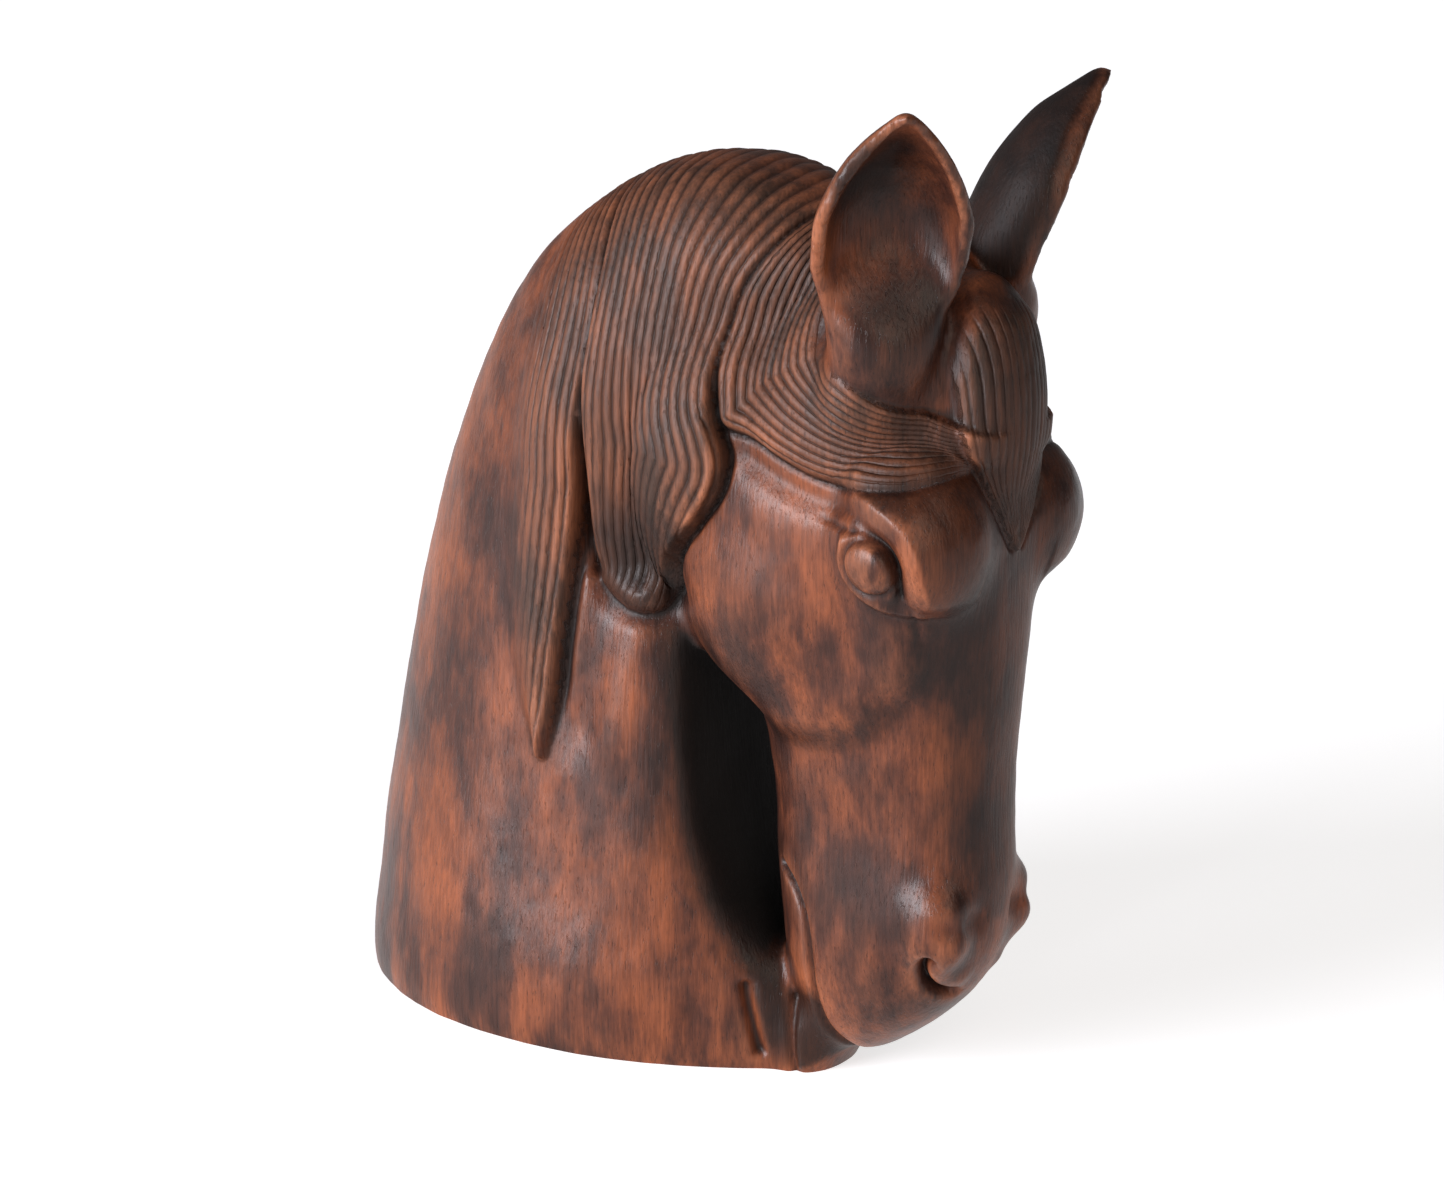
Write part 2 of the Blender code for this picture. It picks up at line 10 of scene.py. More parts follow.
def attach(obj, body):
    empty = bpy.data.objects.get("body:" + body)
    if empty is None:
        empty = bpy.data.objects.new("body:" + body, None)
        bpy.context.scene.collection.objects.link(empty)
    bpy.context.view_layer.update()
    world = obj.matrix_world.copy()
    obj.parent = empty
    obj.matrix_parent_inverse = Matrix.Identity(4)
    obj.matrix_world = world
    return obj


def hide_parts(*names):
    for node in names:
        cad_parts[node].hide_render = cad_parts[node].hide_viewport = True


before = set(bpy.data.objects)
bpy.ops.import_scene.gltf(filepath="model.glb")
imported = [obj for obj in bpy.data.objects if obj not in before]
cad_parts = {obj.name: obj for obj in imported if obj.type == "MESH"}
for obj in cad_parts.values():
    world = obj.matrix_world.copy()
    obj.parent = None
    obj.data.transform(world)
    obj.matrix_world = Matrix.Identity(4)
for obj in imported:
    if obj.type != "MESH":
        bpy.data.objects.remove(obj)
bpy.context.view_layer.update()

bl_info = {
    "name": "Carved horse head",
    "version": (1, 0, 0),
    "blender": (4, 5, 0),
    "location": "3D View > Sidebar > Horse head",
    "description": "Fine carving, stain and varnish of a wooden horse head",
    "category": "Object",
}

# The figure is drawn in millimetres on its side view, as 250 steps from the
# floor to the ear tips
STEP = 0.001
# The finished mesh is thinned out to this many triangles
TRIANGLES = 192000
# Rings, and points round each ring, of the neck and the head, of the chin, of
# an ear and of the finer ear that the carved one is laid on
BODY_GRID = (60, 48)
CHIN_GRID = (20, 32)
EAR_GRID = (44, 44)
FINE_EAR_GRID = (120, 96)
# Rounds of softening that suit fused faces of this size in steps
SOFT_ROUNDS = 28
SOFT_FACE = 1.3
# Where the count of the strands starts on three of the locks, so that no two
# locks share the same unevenness
SWEPT_FIRST = 40
BACK_FIRST = 80
TUFT_FIRST = 120
# Share of dark colour painted on each place, partly stain left where it was never rubbed and
# partly painted shade where the place lies in shade
STAIN_AND_SHADE_SHARE = {
    "face": 0.6, "brow": 0.68, "chin": 0.88, "slit": 0.9, "lock": 0.75,
    "jaw": 0.5, "neck": 0.5, "ear": 0.93,
}
# The stage looks at the middle of the head: azimuth from the right side
# towards the front, elevation and distance of the lights and the camera
MIDDLE = (0.03, 0, 0.13)
KEY_PLACE = (-24, 9, 2.0)
WINDOW_PLACE = (58, 26, 1.2)
WINDOW_SIZE = (0.5, 0.9)
WINDOW_POWER = 5
CAMERA_PLACE = (37, 17, 0.9)
CAMERA_TARGET = (0.033, 0, 0.115)
CAMERA_LENS = 89.8

# Sections of the neck from the foot to the crest: height, back, front, half
# widths at back, middle and front, squareness of the back and of the front
NECK = (
    (-6, -77, 67.5, 31, 39.5, 18, 2.5, 2.6),
    (0, -77.5, 68.5, 31.5, 40, 18, 2.5, 2.6),
    (1.5, -78.5, 69.5, 32, 41, 19, 2.5, 2.6),
    (14, -78.5, 69, 31, 41, 20, 2.4, 2.8),
    (22, -77.5, 65.5, 30, 40.5, 21.5, 2.3, 3.2),
    (32, -76, 56, 28.5, 39.5, 23, 2.3, 5.0),
    (44, -74.5, 48.5, 27, 38, 25.5, 2.3, 8.0),
    (62, -71, 42.5, 25, 35.5, 27, 2.3, 9.0),
    (84, -66.5, 39.5, 23.5, 33, 27.5, 2.3, 9.0),
    (108, -61, 38, 22, 31, 26.5, 2.3, 7.0),
    (134, -53.5, 45, 21, 29.5, 22, 2.3, 2.6),
    (160, -44, 60, 20, 29, 22, 2.2, 2.3),
    (180, -34, 74, 19, 29, 20, 2.2, 2.3),
    (196, -23, 83, 18, 28, 19, 2.2, 2.3),
    (209, -9, 88, 16, 26, 18, 2.2, 2.3),
    (218.5, 5, 79, 13, 21.5, 12, 2.2, 2.2),
    (225.5, 19, 66, 9, 15, 8, 2.1, 2.1),
    (229, 31, 52, 4, 7, 4, 2.0, 2.0),
)

# Sections of the head from the lips up to the poll
HEAD = (
    (8, 74, 85, 7, 8, 5, 2.2, 2.2),
    (15, 65, 95, 12, 14, 11, 2.5, 2.4),
    (24, 60.5, 105, 14.5, 17.5, 14.5, 3.0, 2.5),
    (34, 58.5, 112.5, 15, 20, 16.5, 3.4, 2.5),
    (46, 57, 117, 15, 21, 17, 3.4, 2.5),
    (58, 55.5, 118, 15, 20.5, 16, 3.4, 2.9),
    (72, 54.5, 117, 15, 20, 15.5, 3.2, 3.2),
    (86, 53, 117, 17, 21.5, 15.5, 3.0, 3.2),
    (100, 48, 118, 21, 25, 16.5, 2.7, 3.1),
    (114, 40, 119, 25, 28.5, 19, 2.7, 2.9),
    (130, 33, 119.5, 28, 31, 23, 2.9, 2.9),
    (148, 33, 119.5, 28, 31.5, 25, 3.0, 2.9),
    (164, 40, 117.5, 27, 29, 21, 2.8, 2.5),
    (182, 48, 113, 23, 28, 20, 2.4, 2.5),
    (198, 60, 108, 19, 23, 16, 2.3, 2.4),
    (208, 71, 103, 12, 16, 11, 2.2, 2.2),
    (214, 81, 97, 6, 8, 6, 2.0, 2.0),
)

# Sections of the chin, which grows out of the front of the foot
CHIN = (
    (-6, 54, 70, 11, 13, 10, 2.4, 2.6),
    (0, 54, 71.5, 12, 14, 11, 2.4, 2.6),
    (2, 54, 73.5, 12.5, 14.5, 12, 2.4, 2.6),
    (12, 57, 77, 13, 14.5, 12.5, 2.4, 2.4),
    (19, 62, 83, 12, 14, 12.5, 2.4, 2.4),
    (27, 69, 84, 9, 12, 11, 2.4, 2.4),
)

# Rounded masses: centre, radii
CHEEK = ((65.5, 11, 131), (34, 21.5, 36))
BROW = ((102.5, 19, 147.5), (20.5, 18, 21))
TEAR_RIDGE = ((99, 14, 129), (13, 15, 26))
MANE_PAD = ((46, 8, 162), (28, 22.8, 46))
NOSTRIL_WING = ((106, 14, 50), (12, 7.5, 13))
FORELOCK = ((108, 0, 176), (14, 17, 33))

# Each ear stands on its base point and points at its tip, with its cup
# turned this many degrees from straight ahead
EAR_BASE = Vector((96.5, 23, 190))
EAR_TIP = Vector((113, 39.8, 251.2))
EAR_TURN = 46
# Share of the ear's length, half width, bulge of the back, depth of the cup
# (negative where the ear is still full), share of the wall, bow backwards
EAR = (
    (-0.22, 12.5, 13, -9, 0, 0),
    (0.02, 12.8, 14.5, -10, 0, 0),
    (0.14, 14, 16, -7.5, 0.2, -0.2),
    (0.26, 16.4, 16.5, 1, 0.6, -0.4),
    (0.38, 18.3, 16.4, 10, 1, -0.6),
    (0.52, 18.4, 15.6, 13.5, 1, -0.8),
    (0.66, 16.0, 13.6, 12, 1, -1.1),
    (0.78, 12.4, 11, 8, 1, -1.6),
    (0.88, 8.3, 7.6, 4, 0.9, -2.6),
    (0.97, 3.6, 4.3, 0, 0.6, -3.5),
    (1.0, 1.5, 2.2, -1.5, 0, -3.5),
)

# Lines of the mane, drawn on the side view as (forward, height)
PARTING = (
    (4, 242), (9, 225), (13.5, 212), (15.5, 199), (15, 184), (13.5, 171),
    (12.4, 158), (12.2, 147), (13, 135), (14.5, 127),
)
LOCK_FOOT = ((18.5, 121.4), (25, 117.8), (32, 117.8), (36, 123))
LOCK_FRONT = ((39.5, 133.5), (48, 143.5), (55, 152.5), (57, 161), (54.5, 169))
SWEEP_BACK = (
    (53, 175), (52.5, 183), (54, 192), (57, 201), (62, 209), (68, 217),
    (74, 224), (81, 242),
)
SWEEP_FOOT = (
    (64, 166.5), (73.5, 163), (84, 160.3), (95, 160), (105, 161.5),
    (113, 163.5), (122, 166),
)
SWEEP_INNER = (
    (98, 242), (90, 222), (84, 208), (83, 198), (87, 190), (95, 185),
    (102, 180), (109, 176.5), (116, 174), (124, 172),
)
BACK_LOCK = (
    (12.2, 147), (11, 138), (9, 122), (7, 106), (5.8, 94), (4.4, 85),
    (2.4, 76),
)

# The middle lock's strands run between its parting and this line
LOCK_GUIDE = (
    (39, 112), (42, 122), (45, 133), (51, 143.5), (57, 152.5), (58.5, 161),
    (56, 169),
)

# Lines of the eye on the side view
EYE = (101.5, 143.6)
BROW_RIDGE = (
    (90, 160.5), (95, 160), (101, 158.5), (107, 156), (111.5, 152.4), (114, 147),
    (114.6, 141), (113.6, 135), (111, 129),
)
OUTER_FOLD = ((83, 152), (87.5, 151.6), (92, 151.4), (97, 151.8))
UPPER_LID = (
    (96, 151.6), (100, 152), (104, 150.8), (107.3, 148), (109, 144), (108.8, 140),
    (108, 136.5),
)
LOWER_LID = (
    (93, 148.5), (92, 144), (93.2, 140), (96, 136.4), (100.3, 134), (105, 132.4),
    (110, 131.6),
)
TEAR_LINE = ((109.5, 134), (109, 130), (108.4, 124))

# Other lines of the face, the neck and the chest on the side view
MOUTH = ((62, 56), (68, 52), (72, 45), (73.5, 34), (74, 24), (76, 16), (80, 9))
JAW = ((56, 94), (67, 92), (80, 94), (92, 98.5), (101, 106))
NECK_FACET = ((19, 73), (22, 89), (25.5, 105), (27.5, 118))
CHEST_SLIT = ((55, 23), (56.3, 14), (57.5, 5))
CHIN_EDGE = ((64.5, 25), (65.2, 12), (65.8, 0))
CHIN_SLIT = ((50, 44), (55, 33), (60, 18), (62.5, 4))
NOSTRIL = (110.2, 36.3)
NOSTRIL_HOLLOW = (115, 51.5)
WORN_HOLLOW = (44, 14)


def between(rows, count):
    """Rows at evenly spaced stations, on smooth curves that never overshoot."""
    table = np.array(rows, float)
    at, values = table[:, 0], table[:, 1:]
    slope = np.diff(values, axis=0) / np.diff(at)[:, None]
    tangent = np.zeros_like(values)
    tangent[0], tangent[-1] = slope[0], slope[-1]
    for i in range(1, len(at) - 1):
        total = np.where(slope[i - 1] * slope[i] > 0, slope[i - 1] + slope[i], np.inf)
        tangent[i] = 2 * slope[i - 1] * slope[i] / total
    stations = np.linspace(at[0], at[-1], count)
    k = np.clip(np.searchsorted(at, stations, side="right") - 1, 0, len(at) - 2)
    gap = (at[k + 1] - at[k])[:, None]
    t = (stations - at[k])[:, None] / gap
    values = (
        values[k] * (1 + 2 * t) * (1 - t) ** 2
        + tangent[k] * gap * t * (1 - t) ** 2
        + values[k + 1] * t * t * (3 - 2 * t)
        - tangent[k + 1] * gap * t * t * (1 - t)
    )
    return np.column_stack([stations, values])


def sections(bm, rows, grid, place):
    """A closed ball whose rings are moved, one by one, onto the sections."""
    count, around = grid
    stations = between(rows, count)
    ball = bmesh.ops.create_uvsphere(
        bm, u_segments=around, v_segments=count + 1, radius=1
    )
    for v in ball["verts"]:
        z = max(-1.0, min(1.0, v.co.z))
        level = math.acos(-z) / math.pi * (count + 1) - 1
        ring = math.hypot(v.co.x, v.co.y)
        row = stations[max(0, min(count - 1, round(level)))]
        if ring < 1e-6:
            v.co = place(row, 0.0, 0.0)
        else:
            v.co = place(row, v.co.x / ring, v.co.y / ring)


def body_section(row, c, s):
    """A point of an upright form's section: c runs forward, s sideways."""
    z, back, front, w_back, w_middle, w_front, p_back, p_front = row
    power = p_front if c > 0 else p_back
    ahead = math.copysign(abs(c) ** (2 / power), c)
    aside = math.copysign(abs(s) ** (2 / power), s)
    width = w_middle + ahead * (w_front - w_back) / 2
    width += ahead * ahead * ((w_front + w_back) / 2 - w_middle)
    x = (back + front) / 2 + ahead * (front - back) / 2
    return Vector((x, aside * width, z)) * STEP


def ear_section(side, ear_wall):
    """Places the points of one ear's section: c runs across the ear, and s is
    above 0 in the cup and below 0 on the back.
    """
    axis = EAR_TIP - EAR_BASE
    turn = math.radians(EAR_TURN)
    face = Vector((math.cos(turn), math.sin(turn), 0))
    across = axis.cross(face).normalized()
    face = across.cross(axis).normalized()

    def place(row, c, s):
        share, half, bulge, cup, wall, bow = row
        point = EAR_BASE + axis * share - face * bow
        if s <= 0:
            point = point + across * (c * half) - face * (abs(s) ** 0.8 * bulge)
        else:
            rim = wall * ear_wall / STEP
            point = point + across * (c * max(half - rim, 0.4))
            point = point - face * (cup * s)
        return Vector((point.x, side * point.y, point.z)) * STEP

    return place


def mass(bm, centre, radii, side=1):
    """A rounded mass, on the left for side 1 and on the right for side -1."""
    x, y, z = centre
    place = Matrix.Translation(Vector((x, side * y, z)) * STEP)
    size = Matrix.Diagonal(Vector((*radii, 1 / STEP)) * STEP)
    bmesh.ops.create_icosphere(bm, subdivisions=4, radius=1, matrix=place @ size)


def fused_forms(sizes):
    """All forms fused into one closed skin with faces of the chisel's size."""
    bm = bmesh.new()
    sections(bm, NECK, BODY_GRID, body_section)
    sections(bm, HEAD, BODY_GRID, body_section)
    sections(bm, CHIN, CHIN_GRID, body_section)
    for side in (1, -1):
        mass(bm, *CHEEK, side)
        mass(bm, *BROW, side)
        mass(bm, *TEAR_RIDGE, side)
        mass(bm, *MANE_PAD, side)
        mass(bm, *NOSTRIL_WING, side)
        sections(bm, EAR, EAR_GRID, ear_section(side, sizes.ear_wall))
    mass(bm, *FORELOCK)
    bmesh.ops.recalc_face_normals(bm, faces=bm.faces)
    mesh = bpy.data.meshes.new("carved_head")
    bm.to_mesh(mesh)
    bm.free()
    head = bpy.data.objects.new("carved_head", mesh)
    bpy.context.scene.collection.objects.link(head)
    fuse = head.modifiers.new("Fuse", "REMESH")
    fuse.mode = "VOXEL"
    fuse.voxel_size = sizes.chisel_step
    settle(head)
    return head


def settle(head):
    """Make the modifiers' result the object's own mesh."""
    bpy.context.view_layer.update()
    graph = bpy.context.evaluated_depsgraph_get()
    made = bpy.data.meshes.new_from_object(head.evaluated_get(graph))
    head.modifiers.clear()
    old = head.data
    head.data = made
    bpy.data.meshes.remove(old)
    made.name = head.name


def points_of(mesh):
    flat = np.empty(len(mesh.vertices) * 3, np.float32)
    mesh.vertices.foreach_get("co", flat)
    return flat.reshape(-1, 3).astype(float) / STEP


def normals_of(mesh):
    flat = np.empty(len(mesh.vertices) * 3, np.float32)
    mesh.vertices.foreach_get("normal", flat)
    return flat.reshape(-1, 3).astype(float)


def edges_of(mesh):
    flat = np.empty(len(mesh.edges) * 2, np.int32)
    mesh.edges.foreach_get("vertices", flat)
    return flat.reshape(-1, 2)


def move_to(mesh, points):
    mesh.vertices.foreach_set("co", (points * STEP).astype(np.float32).ravel())
    mesh.update()


def mark(mesh, name, values):
    """Keep one number for each point, for the wood's stain and painted shade to read."""
    layer = mesh.attributes.new(name, "FLOAT", "POINT")
    layer.data.foreach_set("value", values.astype(np.float32))


def soften(points, edges, rounds, share=0.5):
    """Each point, or depth, moves part of the way to its neighbours' mean."""
    a, b = edges[:, 0], edges[:, 1]
    count = np.bincount(edges.ravel(), minlength=len(points))
    points = points.copy()
    for _ in range(rounds):
        for axis in range(points.shape[1]):
            p = points[:, axis]
            total = np.bincount(a, p[b], len(p)) + np.bincount(b, p[a], len(p))
            points[:, axis] = p + share * (total / count - p)
    return points


def ramp(value, low, high):
    """Rises gently from 0 at low to 1 at high."""
    t = np.clip((value - low) / (high - low), 0, 1)
    return t * t * (3 - 2 * t)


def bump(value, width):
    """1 at zero, falling off to both sides."""
    return np.exp(-((value / width) ** 2))


def mixed(a, b, share):
    """a where the share is 0, b where it is 1."""
    return a + (b - a) * share


def waves(points, size, seed):
    """Soft, even unrest from -1 to 1 with swells about this many mm long."""
    rng = np.random.default_rng(seed)
    total = np.zeros(len(points))
    for _ in range(7):
        way = rng.normal(size=3)
        way *= 2 * math.pi / np.linalg.norm(way) / size / rng.uniform(0.7, 1.6)
        total += np.sin(points @ way + rng.uniform(0, 2 * math.pi))
    return total / 4


def curve(points, steps=6):
    """A smooth curve through the given points."""
    p = np.array(points, float)
    p = np.vstack([2 * p[0] - p[1], p, 2 * p[-1] - p[-2]])
    t = np.linspace(0, 1, steps, endpoint=False)[:, None]
    pieces = []
    for p0, p1, p2, p3 in zip(p, p[1:], p[2:], p[3:]):
        pieces.append(
            p1 + 0.5 * t * (p2 - p0)
            + t * t * (p0 - 2.5 * p1 + 2 * p2 - 0.5 * p3)
            + t * t * t * (1.5 * (p1 - p2) + 0.5 * (p3 - p0))
        )
    return np.vstack(pieces + [p[-2:-1]])


def away(x, z, line):
    """Distance to a line, negative on its right as one walks along it."""
    best = np.full(len(x), np.inf)
    side = np.ones(len(x))
    for (ax, az), (bx, bz) in zip(line, line[1:]):
        dx, dz = bx - ax, bz - az
        t = np.clip(((x - ax) * dx + (z - az) * dz) / (dx * dx + dz * dz), 0, 1)
        gap = np.hypot(x - ax - t * dx, z - az - t * dz)
        nearer = gap < best
        best = np.where(nearer, gap, best)
        turn = dx * (z - az) - dz * (x - ax)
        side = np.where(nearer, np.where(turn < 0, -1.0, 1.0), side)
    return best * side


def inside(x, z, outline):
    """True for points within a closed outline."""
    within = np.zeros(len(x), bool)
    for (ax, az), (bx, bz) in zip(outline, np.roll(outline, -1, axis=0)):
        if az == bz:
            continue
        across = (az > z) != (bz > z)
        within ^= across & (x < (bx - ax) * (z - az) / (bz - az) + ax)
    return within


def shoulder(distance, width):
    """Rises steeply from an edge and rounds over to full height."""
    return np.sin(np.pi / 2 * np.clip(distance / width, 0, 1)) ** 0.8


def strand(phase):
    """0 on the round back of a strand, 1 in the groove between two."""
    return 1 - np.abs(np.sin(np.pi * phase)) ** 0.7


def uneven(phase, seed):
    """From 0.55 to 1.2, another value for each groove cut by hand."""
    groove = np.round(phase) + seed
    return 0.55 + 0.65 * np.modf(np.abs(np.sin(groove * 12.9898) * 437.585))[0]


def mane_carving(points, sizes):
    """Height of the locks and their strands, and where the strands lie."""
    relief, phase, mask = np.zeros((3, len(points)))
    zone = (points[:, 2] > 66) & (points[:, 0] < 122)
    points = points[zone]
    x, y, z = points[:, 0], np.abs(points[:, 1]), points[:, 2]
    rise = sizes.lock_rise / STEP

    parting = curve(PARTING)
    front = curve(LOCK_FOOT[3:] + LOCK_FRONT + SWEEP_BACK)
    foot = curve(PARTING[-1:] + LOCK_FOOT)
    sweep = curve(SWEEP_BACK[::-1] + LOCK_FRONT[4:] + SWEEP_FOOT)
    inner = curve(SWEEP_INNER)
    back = curve(PARTING[:-2] + BACK_LOCK[1:])

    to_parting = np.abs(away(x, z, parting))
    to_front = np.abs(away(x, z, front))
    to_foot = np.abs(away(x, z, foot))
    to_sweep = np.abs(away(x, z, sweep))
    to_inner = np.abs(away(x, z, inner))
    to_back = away(x, z, back)
    to_guide = away(x, z, curve(LOCK_GUIDE + SWEEP_BACK))

    middle = inside(x, z, np.vstack([parting, foot[1:], front[1:]]))
    swept = inside(x, z, np.vstack([sweep, inner[::-1]]))
    behind = (to_back < 0) & ~middle & (z > 76)
    off_crest = ramp(y, 5, 17)

    # The locks stand proud low down and lie flush with each other at the crest
    lock = rise * (1 - 0.75 * ramp(z, 165, 205)) * shoulder(to_foot, 5)
    lock *= mixed(shoulder(to_front, 2.2), 1, ramp(z, 160, 186))
    lock *= mixed(shoulder(to_parting, 6), 1, ramp(z, 148, 182))
    width = np.interp(z, (76, 88, 102, 130, 170), (3, 11, 17, 24, 27))
    fade = 1 - ramp(-to_back, 0.35 * width, width)
    tail = 0.85 * rise * fade * (1 - 0.72 * ramp(z, 150, 200))
    rear = tail * mixed(shoulder(-to_back, 2.4), 1, ramp(z, 150, 185))
    swept_lock = rise * mixed(0.6, 0.25, ramp(z, 168, 205))
    swept_lock *= mixed(shoulder(to_sweep, 4.5), 1, ramp(z, 168, 190))
    height = np.where(middle, lock, 0) + np.where(behind, rear, 0)
    height = np.where(swept & ~middle, swept_lock, height)

    low = 1 - ramp(z, 138, 178)
    cut = bump(to_parting, 1.2 + 0.9 * low) * (0.9 + 2.6 * low) * (z > 124)
    cut += bump(to_front, 0.9) * mixed(1.9, 0.8, ramp(z, 165, 190)) * ramp(z, 118, 130)
    cut += bump(to_sweep, 1.1) * 0.8 * ramp(160 - x, 40, 55) * (1 - ramp(z, 168, 176))
    cut += bump(to_foot, 4.0) * 1.5 * (1 - middle) * ramp(z, 110, 116)
    cut += bump(to_back - 1.0, 1.3) * 1.6 * ramp(z, 80, 100) * (z < 146)

    # Strands keep an equal share of the way between two edges of their lock
    wander = 0.10 * waves(points, 26, 3)
    breadth = np.maximum(to_parting + to_guide, 4)
    lines = to_parting / breadth * sizes.middle_strands
    room = ramp(breadth / sizes.middle_strands, 0.5, 1.3)
    room *= 0.25 + 0.75 * ramp(z, 118, 132)
    lines_phase = np.where(middle, lines + wander, 0)
    lines_mask = np.where(middle, room, 0)
    breadth = np.maximum(to_sweep + to_inner, 0.1)
    lines = to_sweep / breadth * sizes.swept_strands
    room = ramp(breadth / sizes.swept_strands, 0.5, 1.3)
    swept &= ~middle
    lines_phase = np.where(swept, lines + wander + SWEPT_FIRST, lines_phase)
    lines_mask = np.where(swept, room, lines_mask)
    lines = -to_back / (sizes.strand_width / STEP)
    lines_phase = np.where(behind, lines + wander + BACK_FIRST, lines_phase)
    lines_mask = np.where(behind, fade * ramp(z, 78, 92), lines_mask)
    lines_mask *= 0.55 + 0.45 * off_crest
    depth = sizes.strand_depth / STEP * strand(lines_phase) * uneven(lines_phase, 5)

    crest = 0.55 + 0.45 * off_crest
    relief[zone] = height * off_crest - cut * crest - depth * lines_mask
    phase[zone] = lines_phase
    mask[zone] = lines_mask
    return relief, phase, mask


def forelock_carving(points):
    """Fine upright strands on the tuft between the ears."""
    x, y, z = points[:, 0], points[:, 1], points[:, 2]
    width = np.interp(z, (143, 151, 160, 168, 176, 198), (1.5, 7, 12, 15, 16, 16.5))
    tuft = (x > 104) & (z > 143) & (z < 206)
    there = np.where(tuft, ramp(x, 104, 110) * ramp(206 - z, 2, 10), 0)
    phase = y / width * 8 + 0.08 * waves(points, 18, 8)
    mask = there * (np.abs(y) < width - 0.6)
    relief = 1.3 * shoulder(width - np.abs(y), 2.0)
    relief -= 0.9 * bump(np.abs(y) - width, 1.0)
    relief = relief * there - 0.5 * strand(phase) * uneven(phase, 3) * mask
    return relief, phase + TUFT_FIRST, mask


def eye_carving(points, sizes):
    """Round eye between two lids, sunk below a sharp ridge of brow."""
    relief = np.zeros(len(points))
    zone = (np.abs(points[:, 1]) > 15) & (points[:, 0] > 76) & (points[:, 2] > 116)
    zone &= points[:, 2] < 166
    x, z = points[zone, 0], points[zone, 2]
    scale = sizes.eye_length / STEP / 26
    x = EYE[0] + (x - EYE[0]) / scale
    z = EYE[1] + (z - EYE[1]) / scale
    over = away(x, z, curve(BROW_RIDGE))
    along = ramp(x, 88, 97) * ramp(z, 130, 137)
    ridge = np.where(over < 0, 1 + over / 4.4, 1 - over / 7)
    deep = 2.2 * np.clip(ridge, 0, 1) * along
    deep -= 1.5 * bump(over + 5.4, 1.7) * along * ramp(x, 95, 102)

    lid = np.abs(away(x, z, curve(UPPER_LID)))
    deep -= mixed(0.5, 1.6, ramp(x, 98, 106)) * bump(lid, 0.9)
    fold = away(x, z, curve(OUTER_FOLD))
    deep -= 0.7 * bump(fold, 0.8) * ramp(x, 82, 86)

    ball = np.hypot((x - EYE[0]) / 6.9, (z - EYE[1]) / 6.4)
    deep += 1.7 * np.sqrt(np.clip(1 - ball ** 2, 0, 1))
    deep -= 0.7 * bump(ball - 1.08, 0.11)
    below = away(x, z, curve(LOWER_LID))
    deep += 0.8 * bump(below - 0.6, 1.1)
    deep -= 0.6 * bump(below + 2.4, 1.6)
    tear = np.abs(away(x, z, curve(TEAR_LINE)))
    deep -= 0.6 * bump(tear, 0.8)
    relief[zone] = deep * scale
    return relief


def nostril_carving(points, sizes):
    """Crescent nostril round a small knob, with a hollow above it."""
    x, y, z = points[:, 0], np.abs(points[:, 1]), points[:, 2]
    dx, dz = x - NOSTRIL[0], z - NOSTRIL[1]
    radius = np.hypot(dx, dz * 0.85)
    rear = ramp(-dx, -1.5, 2.5)
    relief = -sizes.nostril_depth / STEP * bump(radius - 4.7, 1.25) * rear
    relief += 0.9 * bump(np.hypot(dx - 1, dz), 3.4)
    hollow = np.hypot(x - NOSTRIL_HOLLOW[0], (z - NOSTRIL_HOLLOW[1]) / 0.8)
    relief -= 1.8 * bump(hollow, 4.4)
    return np.where(y > 4, relief * ramp(y, 4, 8), 0)


def jaw_carving(points):
    """Soft valley where the cheek's lower edge turns in to the muzzle."""
    x, y, z = points[:, 0], np.abs(points[:, 1]), points[:, 2]
    gap = away(x, z, curve(JAW))
    ends = ramp(x, 50, 60) * ramp(108 - x, 0, 12)
    relief = 0.9 * bump(gap - 6, 6) - 0.9 * bump(gap + 2.5, 5)
    return relief * ends * ramp(y, 8, 14)


def cove_carving(points):
    """The smooth cove under the swept strands, and the facet beside the locks."""
    x, y, z = points[:, 0], np.abs(points[:, 1]), points[:, 2]
    under = away(x, z, curve(LOCK_FRONT[4:] + SWEEP_FOOT))
    relief = -1.5 * bump(under + 4.5, 3.6) * (under < 0)
    relief *= ramp(x, 55, 62) * ramp(104 - x, 0, 12)
    facet = away(x, z, curve(NECK_FACET))
    relief += (0.7 * bump(facet, 5) - 1.5 * bump(facet - 9, 7)) * ramp(z, 72, 88)
    return relief * ramp(y, 12, 18)


def worn_hollow(points):
    """Shallow worn hollow low on the right side of the chest."""
    x, y, z = points[:, 0], points[:, 1], points[:, 2]
    gap = np.hypot((x - WORN_HOLLOW[0]) / 5, (z - WORN_HOLLOW[1]) / 9)
    return np.where(y < -10, -1.0 * bump(gap, 0.8), 0)


def line_cut(points, line, width, depth, inner):
    """A narrow cut along a line of the side view, on the outer faces."""
    x, y, z = points[:, 0], np.abs(points[:, 1]), points[:, 2]
    gap = np.abs(away(x, z, curve(line)))
    return -depth * bump(gap, width) * ramp(y, inner, inner + 4)


def cup_clear(points):
    """1 away from the ears, whose thin rims would wear off."""
    base, axis = np.array(EAR_BASE), np.array(EAR_TIP - EAR_BASE)
    p = np.column_stack([points[:, 0], np.abs(points[:, 1]), points[:, 2]]) - base
    along = p @ axis / (axis @ axis)
    off = np.linalg.norm(p - along[:, None] * axis, axis=1)
    away_from = ramp(off - 7 * ramp(along, 0.05, 0.3), 16, 21)
    return np.clip(away_from + ramp(-along, -0.02, 0.10) + ramp(along, 1.1, 1.2), 0, 1)


